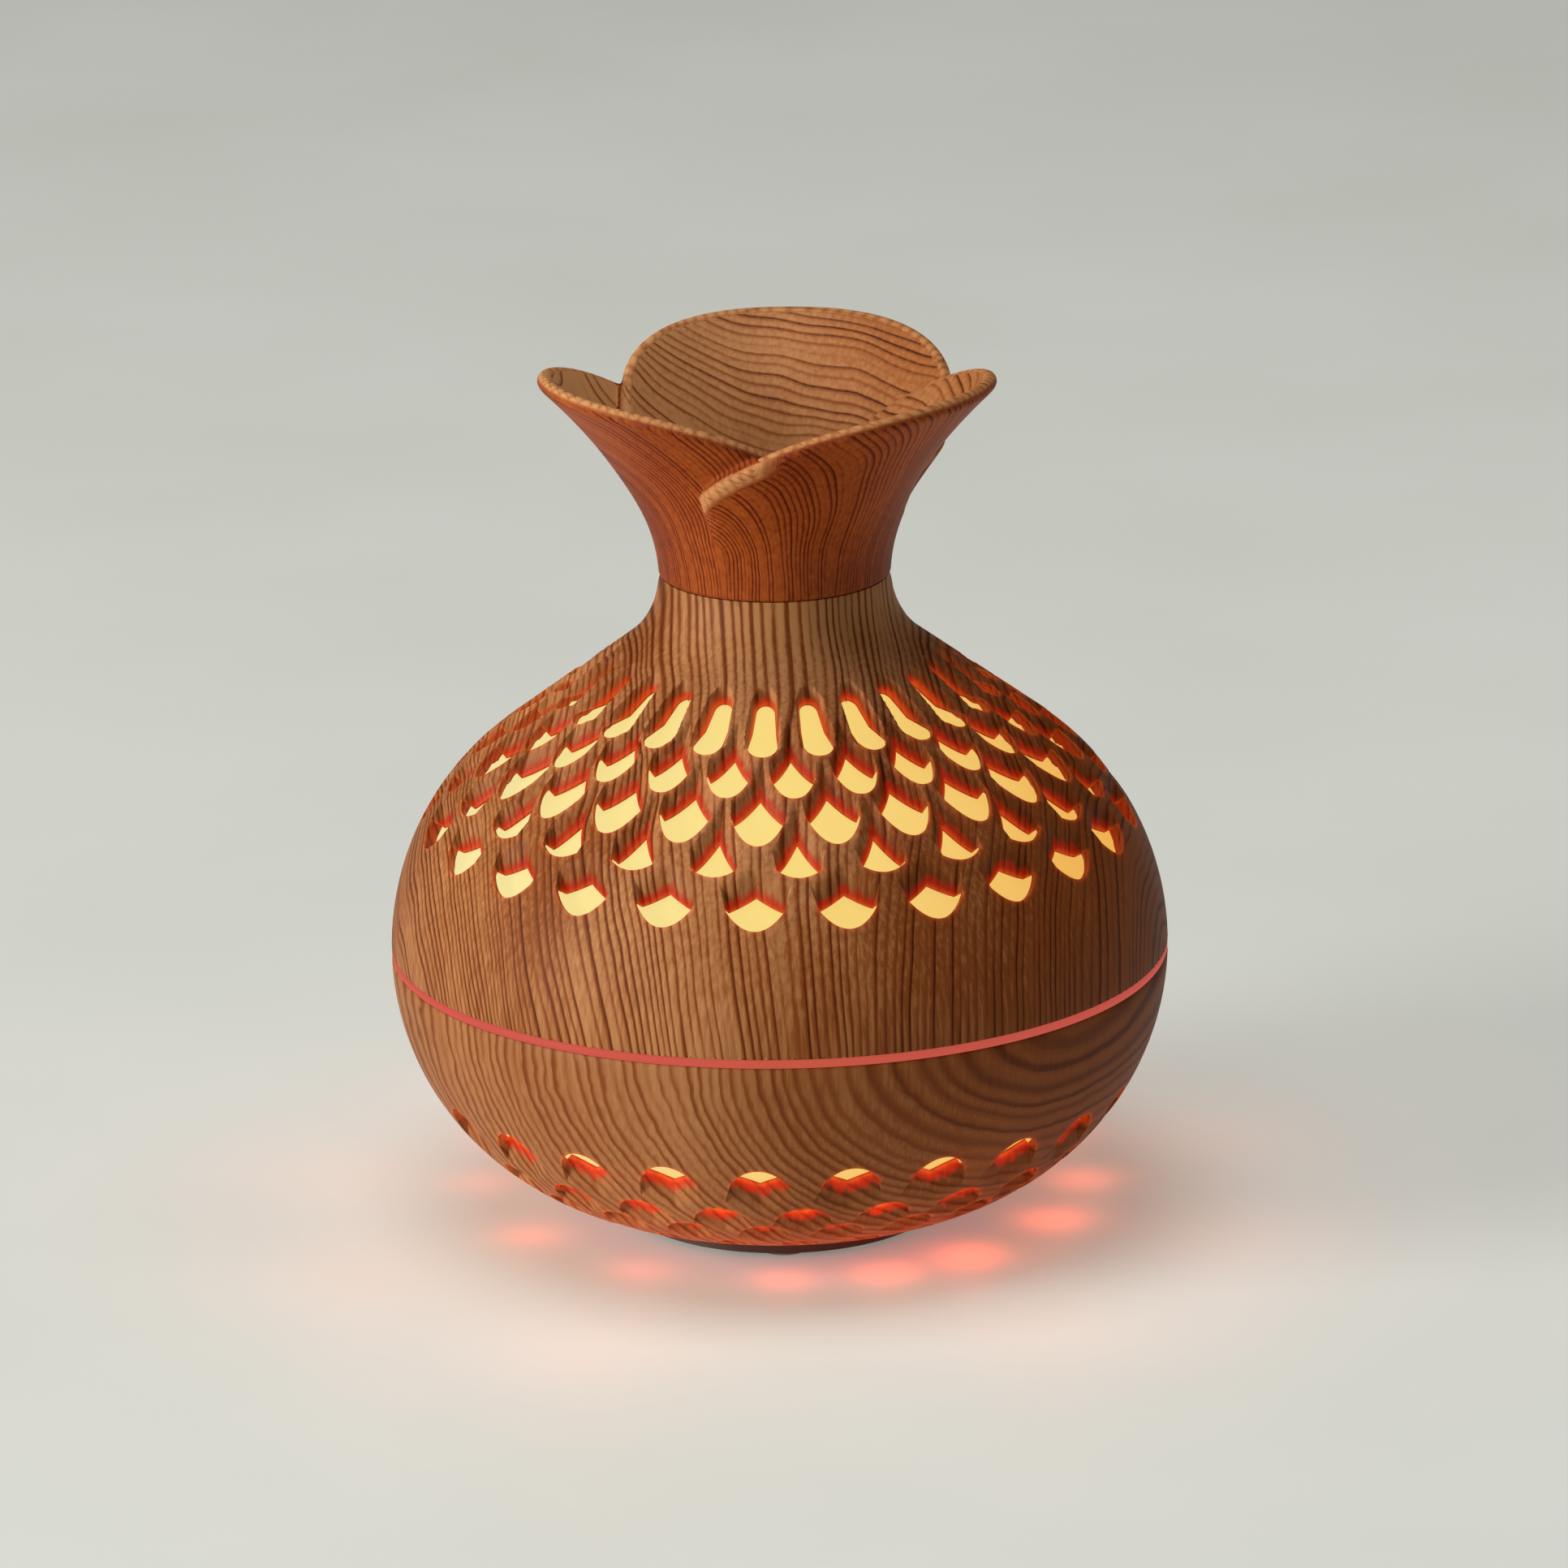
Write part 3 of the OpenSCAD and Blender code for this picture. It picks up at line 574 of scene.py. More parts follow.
def leaf_section(psi, steps=22, round_steps=8):
    """Closed section of a petal: up the outside, round the lip and down the inside."""
    top = float(lip_z(psi))
    zs = LEAF_LOW + (top - LEAF_LOW) * np.linspace(0, 1, steps)
    lean = np.arctan(flare_slope(zs))
    outer_r = flare(zs) + leaf_shift(psi, zs)
    out = np.stack([outer_r, zs], 1)
    inner = np.stack([outer_r - LEAF_T * np.cos(lean), zs + LEAF_T * np.sin(lean)], 1)
    normal = np.array([math.cos(lean[-1]), -math.sin(lean[-1])])
    along = np.array([math.sin(lean[-1]), math.cos(lean[-1])])
    middle = (out[-1] + inner[-1]) / 2
    half = np.linalg.norm(out[-1] - inner[-1]) / 2
    turn = np.linspace(0, math.pi, round_steps + 2)[1:-1]
    lip = [middle + half * (math.cos(t) * normal + math.sin(t) * along) for t in turn]
    return np.concatenate([out, lip, inner[::-1]])


def leaf(centre):
    """Solid of one petal whose middle is at angle centre."""
    psis = np.linspace(-LEAF_END, LEAF_END, 161)
    sections = [leaf_section(float(p)) for p in psis]
    n = len(sections[0])
    verts = []
    for psi, section in zip(psis, sections):
        a = math.radians(centre + psi)
        verts += [(r * math.sin(a), -r * math.cos(a), z) for r, z in section]
    last = (len(psis) - 1) * n
    ends = [tuple(range(n)), tuple(last + j for j in range(n))[::-1]]
    return new_object("leaf", verts, quads(len(psis), n, False) + ends)


def neck_tube():
    """Solid of revolution that joins the petals and stands in the shell's neck."""
    foot = SPIGOT_LOW + 0.3
    outer = [(SPIGOT_R, foot), (SPIGOT_R, NECK_Z), (NECK_R - 0.35, NECK_Z + 0.03),
             (NECK_R - 0.08, NECK_Z + 0.15)]
    outer += [(float(flare(z)), z) for z in np.linspace(NECK_Z + 0.4, MERGE_Z, 12)]
    inner = [(float(flare(z)) - LEAF_T, z) for z in np.linspace(MERGE_Z, 108, 6)]
    inner += [(BORE_R + 1.0, 105.5), (BORE_R + 0.2, 103.5), (BORE_R, 102), (BORE_R, foot)]
    return lathe("tube", outer + inner, 180)


def melted(parts, name):
    """One smooth skin round overlapping closed solids."""
    target = parts[0]
    bm = bmesh.new()
    for part in parts:
        bm.from_mesh(part.data)
    bm.to_mesh(target.data)
    bm.free()
    for part in parts[1:]:
        bpy.data.objects.remove(part)
    melt = target.modifiers.new("melt", "REMESH")
    melt.mode = "VOXEL"
    melt.voxel_size = VOXEL * MM
    melt.adaptivity = 0
    soften = target.modifiers.new("soften", "SMOOTH")
    soften.factor = 0.5
    soften.iterations = 4
    apply_modifiers(target)
    for polygon in target.data.polygons:
        polygon.use_smooth = True
    target.name = name
    return target


def petal_mouth():
    """Three overlapping petals and the neck tube, melted into one skin."""
    parts = [neck_tube()] + [leaf(PETAL_PHASE + PETAL_PITCH * k) for k in range(PETALS)]
    for part in parts:
        finish_mesh(part)
    bpy.context.view_layer.update()
    mouth = melted(parts, "petal_mouth")
    store_petal_fields(mouth.data)
    return mouth


# Another petal has to be nearer by this to own a point, and the covering one may be further off
SWITCH_MARGIN = -0.15
COVER_GAIN = 0.6
FACE_BLEND = 1.3
# The pale rim along the tail
TAIL_RIM = 2.0
TAIL_RIM_FADE = 1.3
TAIL_RIM_PALE = 0.85


def store_petal_fields(mesh):
    """Attributes for the grain: the owning petal, the angle from its middle, and 1 on the inner face."""
    co = np.zeros(len(mesh.vertices) * 3)
    mesh.vertices.foreach_get("co", co)
    x, y, z = co.reshape(-1, 3).T / MM
    theta = np.degrees(np.arctan2(x, -y))
    r = np.hypot(x, y)
    own_psi = (theta - PETAL_PHASE + HALF_PETAL) % PETAL_PITCH - HALF_PETAL
    lean = np.arctan(flare_slope(z))
    nearest = np.full(len(r), 1e9)
    psi, offset = own_psi.copy(), np.zeros(len(r))
    # A neighbour may cover this petal outside, at turn -PETAL_PITCH, or be tucked inside it
    for turn in (0, -PETAL_PITCH, PETAL_PITCH):
        angle = own_psi + turn
        middle = flare(z) + leaf_shift(angle, z) - LEAF_T / 2 / np.cos(lean)
        away = (r - middle) * np.cos(lean)
        usable = (np.abs(angle) < LEAF_END) & (z < lip_z(angle) + LIP_R + 0.3)
        # Low down, where the petals merge, the covering one keeps the outer face up to its dive
        covers = (turn < 0) & (angle > -LEAF_DIVE) & (away > 0)
        favour = np.where(covers, COVER_GAIN, SWITCH_MARGIN)
        better = usable & (np.abs(away) < nearest + favour)
        nearest = np.where(better, np.abs(away), nearest)
        psi, offset = np.where(better, angle, psi), np.where(better, away, offset)
    inner = smoothstep(0.5 - offset / FACE_BLEND)
    near_lip = smoothstep((z - lip_z(psi) + TAIL_RIM) / TAIL_RIM_FADE)
    pale = TAIL_RIM_PALE * near_lip * smoothstep((-psi - 54) / 8) * (offset > 0)
    inner = inner * (1 - pale) + 0.5 * pale
    owner = np.round((theta - PETAL_PHASE - psi) / PETAL_PITCH) % PETALS
    store(mesh, {"psi": psi, "inner": inner, "owner": owner})


# ------------ node graphs

class Graph:
    """A material whose nodes are written as expressions."""

    def __init__(self, name):
        self.material = bpy.data.materials.new(name)
        self.material.use_nodes = True
        self.tree = self.material.node_tree
        self.tree.nodes.clear()
        output = self.tree.nodes.new("ShaderNodeOutputMaterial")
        self.shader = self.tree.nodes.new("ShaderNodeBsdfPrincipled")
        self.tree.links.new(self.shader.outputs[0], output.inputs[0])

    def put(self, socket, value):
        if isinstance(value, bpy.types.NodeSocket):
            self.tree.links.new(value, socket)
        else:
            socket.default_value = value

    def set(self, name, value):
        self.put(self.shader.inputs[name], value)

    def math(self, operation, a, b=0.0, c=0.0, clamp=False):
        node = self.tree.nodes.new("ShaderNodeMath")
        node.operation = operation
        node.use_clamp = clamp
        for socket, value in zip(node.inputs, (a, b, c)):
            self.put(socket, value)
        return node.outputs[0]

    def add(self, a, b):
        return self.math("ADD", a, b)

    def mul(self, a, b):
        return self.math("MULTIPLY", a, b)

    def rest(self, a):
        """What is left of one."""
        return self.math("SUBTRACT", 1.0, a)

    def place(self):
        """Object coordinates in millimetres, as three sockets."""
        coords = self.tree.nodes.new("ShaderNodeTexCoord").outputs["Object"]
        scaled = self.tree.nodes.new("ShaderNodeVectorMath")
        scaled.operation = "SCALE"
        self.put(scaled.inputs[0], coords)
        scaled.inputs["Scale"].default_value = 1 / MM
        split = self.tree.nodes.new("ShaderNodeSeparateXYZ")
        self.put(split.inputs[0], scaled.outputs[0])
        return split.outputs[0], split.outputs[1], split.outputs[2]

    def vector(self, x, y, z):
        node = self.tree.nodes.new("ShaderNodeCombineXYZ")
        for socket, value in zip(node.inputs, (x, y, z)):
            self.put(socket, value)
        return node.outputs[0]

    def stretched(self, a, b, c):
        """Object coordinates in millimetres, each times its own factor."""
        x, y, z = self.place()
        return self.vector(self.mul(x, a), self.mul(y, b), self.mul(z, c))

    def noise(self, vector, detail, rough=0.5, scale=1.0):
        node = self.tree.nodes.new("ShaderNodeTexNoise")
        self.put(node.inputs["Vector"], vector)
        node.inputs["Scale"].default_value = scale
        node.inputs["Detail"].default_value = detail
        node.inputs["Roughness"].default_value = rough
        return node.outputs[0]

    def spread(self, vector, detail):
        """Noise centred on zero."""
        return self.add(self.noise(vector, detail), -0.5)

    def ramp(self, factor, stops, ease="LINEAR"):
        """Colours at places from 0 to 1."""
        node = self.tree.nodes.new("ShaderNodeValToRGB")
        self.put(node.inputs[0], factor)
        node.color_ramp.interpolation = ease
        elements = node.color_ramp.elements
        while len(elements) < len(stops):
            elements.new(0.5)
        for element, (position, colour) in zip(elements, stops):
            element.position = position
            element.color = colour
        return node.outputs[0]

    def from_left(self, x, width=120):
        """0 at the left of the object and 1 at its right, over a width in millimetres."""
        return self.add(self.mul(x, 1 / width), 0.5)

    def curve(self, factor, stops, ease="LINEAR"):
        """Values at places from 0 to 1."""
        return self.ramp(factor, [(p, (v, v, v, 1)) for p, v in stops], ease)

    def mix(self, factor, a, b):
        node = self.tree.nodes.new("ShaderNodeMix")
        node.data_type = "RGBA"
        self.put(node.inputs[0], factor)
        self.put(node.inputs[6], a)
        self.put(node.inputs[7], b)
        return node.outputs[2]

    def attribute(self, name):
        node = self.tree.nodes.new("ShaderNodeAttribute")
        node.attribute_name = name
        return node.outputs["Fac"]

    def bump(self, height, distance_mm, strength=1.0):
        node = self.tree.nodes.new("ShaderNodeBump")
        node.inputs["Strength"].default_value = strength
        node.inputs["Distance"].default_value = distance_mm * MM
        self.put(node.inputs["Height"], height)
        self.put(self.shader.inputs["Normal"], node.outputs[0])


# Colours of the painted red glow on the wood, and of the painted dark red shade on the ramps
GLOW_DEEP = srgb(205, 30, 6)
GLOW_WARM = srgb(250, 110, 40)
PAINTED_RED_SHADE = srgb(120, 22, 8)
SOFT_LINE = [(0.0, 0.3), (0.25, 0.0), (0.45, 0.1), (0.78, 1.0), (0.9, 0.9), (1.0, 0.3)]
LINE = [(0.0, 0.2), (0.14, 0.0), (0.5, 0.08), (0.72, 0.42), (0.85, 1.0), (0.93, 0.75), (1.0, 0.2)]


def wood_tone(g, growth, density, fibre, drift=6.0, soft=0.0):
    """Darkness of the wood from a growth distance in millimetres and its ring count.

    Soft turns each thin ring line into a broad blurred one.
    """
    z = g.place()[2]
    wander = g.spread(g.vector(g.mul(growth, 0.06), 0.0, 0.0), 2.5)
    rings = g.add(density, g.mul(wander, drift))
    part = g.math("FRACT", rings)
    which = g.math("FLOOR", rings)
    strength = g.noise(g.vector(g.mul(which, 3.7), g.mul(z, 0.02), 1.5), 1.0)
    thin = g.mul(g.curve(part, LINE, "EASE"), g.curve(strength, [(0.36, 0.12), (0.6, 1.1)]))
    broad = g.mul(g.curve(part, SOFT_LINE, "EASE"), g.curve(strength, [(0.32, 0.5), (0.6, 1.0)]))
    line = g.math("MULTIPLY_ADD", g.math("SUBTRACT", broad, thin), soft, thin)
    streak = g.noise(fibre, 3.0, 0.62)
    patch = g.spread(g.stretched(0.04, 0.04, 0.012), 2.0)
    tone = g.add(g.mul(line, 0.66), g.mul(g.add(streak, -0.5), 0.55))
    tone = g.add(g.add(tone, 0.14), g.mul(patch, 0.6))
    g.set("Roughness", g.curve(streak, [(0.2, 0.6), (0.8, 0.46)]))
    g.set("Specular IOR Level", 0.09)
    g.bump(g.add(g.mul(line, -0.6), g.mul(streak, -0.35)), 0.05, 0.35)
    return tone


def wood_colour(g, tone, light, middle, dark):
    return g.ramp(tone, [(0.0, light), (0.36, middle), (0.92, dark)])


def lit_wood(g, tone, colour, deep, floor_bounce_glow=0.0):
    """Wood whose ramps end in a toothed band of painted dark red shade and painted red glow beside the
    openings, standing in for the lamp's light from inside.
    """
    ramp = g.attribute("ramp_glow")
    rim = g.attribute("rim_glow")
    teeth = g.spread(g.stretched(1.3, 1.3, 0.25), 1.0)
    band = g.curve(g.add(ramp, g.mul(teeth, 0.55)), [(0.5, 0.0), (0.62, 0.5), (0.85, 1.0)])
    # Painted shade: the band mixes in a dark red that stands in for the down-facing ramps in shadow, lit
    # red by the lamp inside.
    g.set("Base Color", g.mix(g.mul(band, 0.85), colour, PAINTED_RED_SHADE))
    # Painted glow: emission on the band, low on the bowl and along the rims stands in for the lamp's red
    # light from inside.
    grain = g.curve(tone, [(0.1, 1.3), (0.8, 0.5)])
    amount = g.add(g.mul(g.add(g.mul(band, deep), floor_bounce_glow), grain), g.mul(rim, 0.25))
    g.set("Emission Color", g.mix(g.mul(rim, 0.5), GLOW_DEEP, GLOW_WARM))
    g.set("Emission Strength", amount)


def slow(g, across, along, seed=0.0):
    """Slow centred noise over the body; across and along are cycles for each millimetre."""
    x, y, z = g.place()
    return g.spread(g.vector(g.add(g.mul(x, across), seed), g.mul(y, across), g.mul(z, along)), 1.5)


# How the fibres of both shells stretch the coordinates
SHELL_FIBRE = (1.7, 1.7, 0.035)


def dome_wood():
    """Rings that stand upright and fan out a little over the shoulder, broad and soft on the neck; painted
    shade deepens the right side and painted light brightens the neck's right.
    """
    g = Graph("wood_dome")
    x, y, z = g.place()
    above = g.math("SMOOTH_MIN", g.math("MAXIMUM", g.add(z, -74.0), 0.0), 26.0, 4.0)
    lean = g.curve(g.from_left(x), [(0.1, 0.16), (0.45, 0.12), (0.62, 0.0)])
    growth = g.add(g.mul(x, g.add(1.0, g.mul(above, 0.012))), g.mul(lean, g.add(z, -70.0)))
    growth = g.add(growth, g.mul(slow(g, 0.02, 0.011), 15.0))
    growth = g.add(growth, g.mul(slow(g, 0.11, 0.04, 7.0), 1.3))
    side = g.math("ABSOLUTE", g.add(growth, -4.0))
    density = g.mul(growth, g.add(0.52, g.mul(side, 0.0065)))
    neck = g.math("MULTIPLY_ADD", z, 1 / 14, -86 / 14, clamp=True)
    tone = wood_tone(g, growth, density, g.stretched(*SHELL_FIBRE), soft=neck)
    # Painted shade: below the neck the tone deepens towards the right side, away from the key light.
    painted_side_shade = g.curve(g.from_left(x), [(0.0, 0.06), (0.3, 0.0), (0.55, 0.04), (0.9, 0.26)])
    # Painted light: the neck's right side is made lighter in tone.
    painted_neck_light = g.curve(g.from_left(x), [(0.4, -0.02), (0.5, 0.17), (0.64, 0.34)])
    tone = g.add(tone, g.mul(painted_side_shade, g.rest(neck)))
    tone = g.add(tone, g.mul(painted_neck_light, g.mul(neck, -1.0)))
    lit_wood(g, tone, wood_colour(g, tone, srgb(190, 133, 84), srgb(134, 70, 28), srgb(76, 25, 4)), 0.36)
    return g.material


def bowl_wood():
    """Ovals round a heart at the right under the light ring, wide there and fine at the left.

    Low down the wood has a painted red glow that stands in for the floor's light thrown back to it.
    """
    g = Graph("wood_bowl")
    x, y, z = g.place()
    u = g.add(g.add(x, -46.0), g.mul(slow(g, 0.02, 0.02), 10.0))
    v = g.mul(g.add(z, -45.0), 1.45)
    growth = g.math("SQRT", g.add(g.mul(u, u), g.mul(v, v)))
    growth = g.add(growth, g.mul(slow(g, 0.1, 0.06, 3.0), 2.0))
    growth = g.add(growth, g.mul(slow(g, 0.3, 0.3, 11.0), 0.9))
    density = g.add(g.mul(growth, 0.1), g.mul(g.mul(growth, growth), 0.0036))
    # Painted glow: the ramps' red glow is made stronger low on the bowl.
    deep = g.curve(g.mul(z, 1 / 40), [(0.1, 1.2), (0.4, 0.8), (0.75, 0.45)])
    soft = g.curve(g.mul(growth, 1 / 60), [(0.25, 1.0), (0.7, 0.35)])
    tone = wood_tone(g, growth, density, g.stretched(*SHELL_FIBRE), 2.5, soft)
    tone = g.math("MULTIPLY_ADD", tone, 0.6, 0.09)
    # Painted shade: the tone is pushed towards the dark colours on the right side, away from the key light.
    tone = g.add(tone, g.curve(g.from_left(x), [(0.3, 0.0), (0.55, 0.05), (0.9, 0.25)]))
    # Painted glow low on the bowl, standing in for the floor's red light thrown back onto it.
    floor_bounce_glow = g.curve(g.mul(z, 1 / 40), [(0.08, 0.42), (0.28, 0.1), (0.42, 0.0)])
    colour = wood_colour(g, tone, srgb(186, 131, 84), srgb(137, 75, 33), srgb(76, 27, 6))
    lit_wood(g, tone, colour, deep, floor_bounce_glow)
    return g.material


# Mean radius of the petals' outside and height above which the legs close in arches
ARCH_R = 24.0
ARCH_Z = 109.0


def petal_wood():
    """Upright legs that close in arches on the outside, smile lines inside and a pale lip.

    The arches' middle lies at another angle on each petal: its owner number picks a step of the curve.
    """
    g = Graph("wood_petals")
    x, y, z = g.place()
    psi, inner, owner = g.attribute("psi"), g.attribute("inner"), g.attribute("owner")
    axis = g.curve(g.mul(owner, 0.5), [(0.24, 0.0), (0.26, 0.55), (0.74, 0.55), (0.76, 0.61)])
    turn = g.add(g.add(psi, 87.0), g.mul(axis, -120.0))
    across = g.mul(turn, ARCH_R * math.pi / 180)
    above = g.math("MAXIMUM", g.add(z, -ARCH_Z), 0.0)
    across = g.add(across, g.mul(above, -0.1))
    up = g.mul(above, 0.8)
    arch = g.math("SQRT", g.add(g.mul(across, across), g.mul(up, up)))
    left = g.math("MINIMUM", x, 0.0)
    smile = g.add(g.add(g.mul(z, 0.8), g.mul(x, 0.05)), g.mul(g.mul(left, left), -0.02))
    wave = g.spread(g.vector(g.mul(across, 0.05), g.mul(z, 0.05), g.mul(owner, 17.3)), 1.5)
    growth = g.add(g.mul(arch, g.rest(inner)), g.mul(smile, inner))
    growth = g.add(growth, g.mul(wave, 5.0))
    rings = g.mul(growth, g.add(1.25, g.mul(inner, -0.2)))
    tone = wood_tone(g, growth, rings, g.stretched(1.4, 1.4, 0.6), 2.5)
    lip = g.rest(g.math("ABSOLUTE", g.add(g.mul(inner, 2.0), -1.0)))
    # Painted light and shade: on the inner face and the lip the tone is lighter at the left and deeper at
    # the right.
    painted_shade_to_right = g.curve(g.from_left(x, 80), [(0.1, 0.0), (0.9, 1.0)])
    tone = g.add(tone, g.mul(g.math("MULTIPLY_ADD", painted_shade_to_right, 0.42, -0.2), g.math("MAXIMUM", inner, lip)))
    crossing = g.math("FRACT", g.add(g.mul(psi, 0.3), g.mul(wave, 9.0)))
    tone = g.mul(tone, g.add(1.0, g.mul(lip, -0.55)))
    tone = g.add(tone, g.mul(g.mul(lip, g.curve(crossing, SOFT_LINE, "EASE")), 0.26))
    outside = wood_colour(g, tone, srgb(172, 84, 31), srgb(114, 38, 8), srgb(46, 11, 1))
    # The inside palette is lighter than the outside: partly the wood's own tone, partly painted light for
    # the mist's pale veil in the mouth.
    inside = wood_colour(g, tone, srgb(204, 146, 94), srgb(166, 100, 54), srgb(82, 36, 12))
    pale = wood_colour(g, tone, srgb(208, 150, 98), srgb(174, 108, 60), srgb(74, 32, 10))
    g.set("Base Color", g.mix(lip, g.mix(inner, outside, inside), pale))
    return g.material


def glowing(name, left, middle, right, strength, body):
    """Milky plastic lit from behind, its emission standing in for the lamp inside; lighter on the left and
    more orange on the right as painted light from the key on the left.
    """
    g = Graph(name)
    cloud = g.spread(g.stretched(0.05, 0.05, 0.05), 2.0)
    across = g.add(g.from_left(g.place()[0]), g.mul(cloud, 0.2))
    # Painted light: the emission colour is lighter on the left side, where the key light falls, and more
    # orange on the right.
    colour = g.ramp(across, [(0.08, left), (0.5, middle), (0.95, right)])
    g.set("Base Color", body)
    g.set("Roughness", 0.6)
    g.set("Specular IOR Level", 0.1)
    g.set("Emission Color", colour)
    g.set("Emission Strength", strength)
    return g.material


def moulded(name, colour, rough=0.4, grain_mm=0.4, bump_mm=0.02, vary=0.12, metal=0.0, coat=0.0):
    """Moulded or cast surface: slightly uneven colour and gloss, with a fine texture."""
    g = Graph(name)
    place = g.vector(*g.place())
    cloud = g.noise(place, 3.0, scale=0.08)
    fine = g.noise(place, 3.0, 0.6, 1 / grain_mm)
    shade = tuple(v * (1 - vary) for v in colour[:3]) + (1.0,)
    tint = tuple(min(1.0, v * (1 + vary)) for v in colour[:3]) + (1.0,)
    g.set("Base Color", g.ramp(g.add(g.mul(cloud, 0.7), g.mul(fine, 0.3)), [(0.3, shade), (0.7, tint)]))
    g.set("Roughness", g.curve(fine, [(0.3, max(0.05, rough - 0.07)), (0.7, rough + 0.07)]))
    g.set("Metallic", metal)
    g.set("Coat Weight", coat)
    g.bump(fine, bump_mm, 0.5)
    return g.material


def give(obj, material):
    obj.data.materials.clear()
    obj.data.materials.append(material)


def use(material, *names):
    for name in names:
        give(nodes[name], material)


# ------------ pieces

SEAM_GAP = 0.02
BAND_INNER_R = 50.0


def light_band():
    """The thin light guide round the belly, with softly rounded outer corners."""
    middle = (RING_LOW + RING_TOP) / 2
    half = (RING_TOP - RING_LOW) / 2 - SEAM_GAP
    turns = np.radians(np.linspace(-90, 90, 9))
    outer = [(BELLY_R - 0.45 + 0.4 * math.cos(t), middle + half * math.sin(t)) for t in turns]
    outline = [(BAND_INNER_R, middle - half)] + outer + [(BAND_INNER_R, middle + half)]
    return finish_mesh(lathe("light_band", outline, 288), 50)


# First and last arc length of each shell and of its carved part
DOME_SPAN = (s_at_height(RING_TOP) + SEAM_GAP, S_SEAM - SEAM_GAP)
DOME_CARVED = (80.5, 129.5)
BOWL_SPAN = (S_BELLY - BOWL_ARC * math.acos((COVER_R - BOWL_C[0]) / BOWL_ARC),
             s_at_height(RING_LOW) - SEAM_GAP)
BOWL_CARVED = (11.5, 44.0)

dome = carved_shell("dome_shell", *DOME_SPAN, DOME_OPENINGS, DOME_CARVED)
bowl = carved_shell("bowl_shell", *BOWL_SPAN, BOWL_OPENINGS, BOWL_CARVED)
cut_rear_holes(bowl)
mouth = petal_mouth()
band = light_band()

for piece, body, slot, node, material in (
        (dome, "lid", "shell", "upper_shell", dome_wood()),
        (bowl, "base", "shell", "lower_shell", bowl_wood()),
        (mouth, "lid", "collar", "petal_collar", petal_wood()),
        (band, "base", "ring", "light_ring", glowing("ring_glow", srgb(206, 84, 72), srgb(200, 86, 68),
                                                     srgb(198, 84, 72), 0.88, srgb(80, 26, 20)))):
    give(piece, material)
    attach(piece, body)
    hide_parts(node)

LINER_BODY = srgb(80, 62, 36)
use(glowing("dome_liner", srgb(252, 240, 170), srgb(255, 225, 130), srgb(248, 182, 84), 0.89, LINER_BODY),
    "upper_liner")
use(glowing("bowl_liner", srgb(255, 235, 170), srgb(255, 214, 120), srgb(250, 190, 95), 0.89, LINER_BODY),
    "lower_liner")

# Material, colour, roughness, grain and bump in millimetres, variation, metal, coat and its nodes
FINISHES = (
    ("cover_plastic", (70, 45, 32), 0.55, 0.5, 0.05, 0.12, 0, 0, "base_cover"),
    ("button_plastic", (118, 74, 44), 0.5, 0.35, 0.06, 0.22, 0, 0, "mist_button light_button"),
    ("tank_plastic", (236, 236, 232), 0.3, 0.25, 0.004, 0.02, 0, 0, "water_tank mist_chimney splash_baffle "
     "duct_cap transducer_retainer fan_plenum air_duct support_posts"),
    ("silicone", (120, 120, 118), 0.6, 0.3, 0.03, 0.12, 0, 0, "lid_seal transducer_seal rubber_feet"),
    ("plate_metal", (214, 176, 96), 0.28, 0.2, 0.01, 0.08, 1, 0, "transducer_disc"),
    ("black_plastic", (30, 30, 32), 0.45, 0.4, 0.03, 0.2, 0, 0,
     "fan_housing fan_impeller fan_magnet switch_bodies power_socket"),
    ("copper_wire", (190, 105, 60), 0.35, 0.25, 0.08, 0.2, 1, 0, "fan_coil"),
    ("green_board", (24, 92, 48), 0.3, 1.2, 0.03, 0.25, 0, 0.3, "main_board button_boards"),
    ("white_board", (232, 230, 218), 0.35, 1.0, 0.02, 0.05, 0, 0.2, "led_board"),
    ("component_black", (34, 34, 36), 0.5, 0.3, 0.03, 0.25, 0, 0, "board_components"),
    ("led_phosphor", (250, 214, 110), 0.4, 0.3, 0.02, 0.08, 0, 0, "leds"),
    ("fin_aluminium", (196, 198, 200), 0.35, 0.2, 0.02, 0.1, 1, 0, "heat_sink"),
    ("zinc_steel", (184, 184, 182), 0.3, 0.15, 0.02, 0.12, 1, 0,
     "retainer_screws fan_screws board_screws base_screws socket_pin"),
    ("red_plunger", (160, 44, 34), 0.4, 0.4, 0.02, 0.12, 0, 0, "mist_plunger light_plunger"),
)
for name, colour, rough, grain, bump, vary, metal, coat, wearers in FINISHES:
    use(moulded(name, srgb(*colour), rough, grain, bump, vary, metal, coat), *wearers.split())

EDGE_BEVEL = 0.25
for name in ("base_cover", "rubber_feet", "power_socket", "mist_button", "light_button"):
    edge = nodes[name].modifiers.new("soft_edge", "BEVEL")
    edge.width = EDGE_BEVEL * MM
    edge.segments = 3
    edge.limit_method = "ANGLE"
    edge.angle_limit = math.radians(50)


# A mark starts this far inside its button's face and is this thick
MARK_SINK = 0.05
MARK_T = 0.22


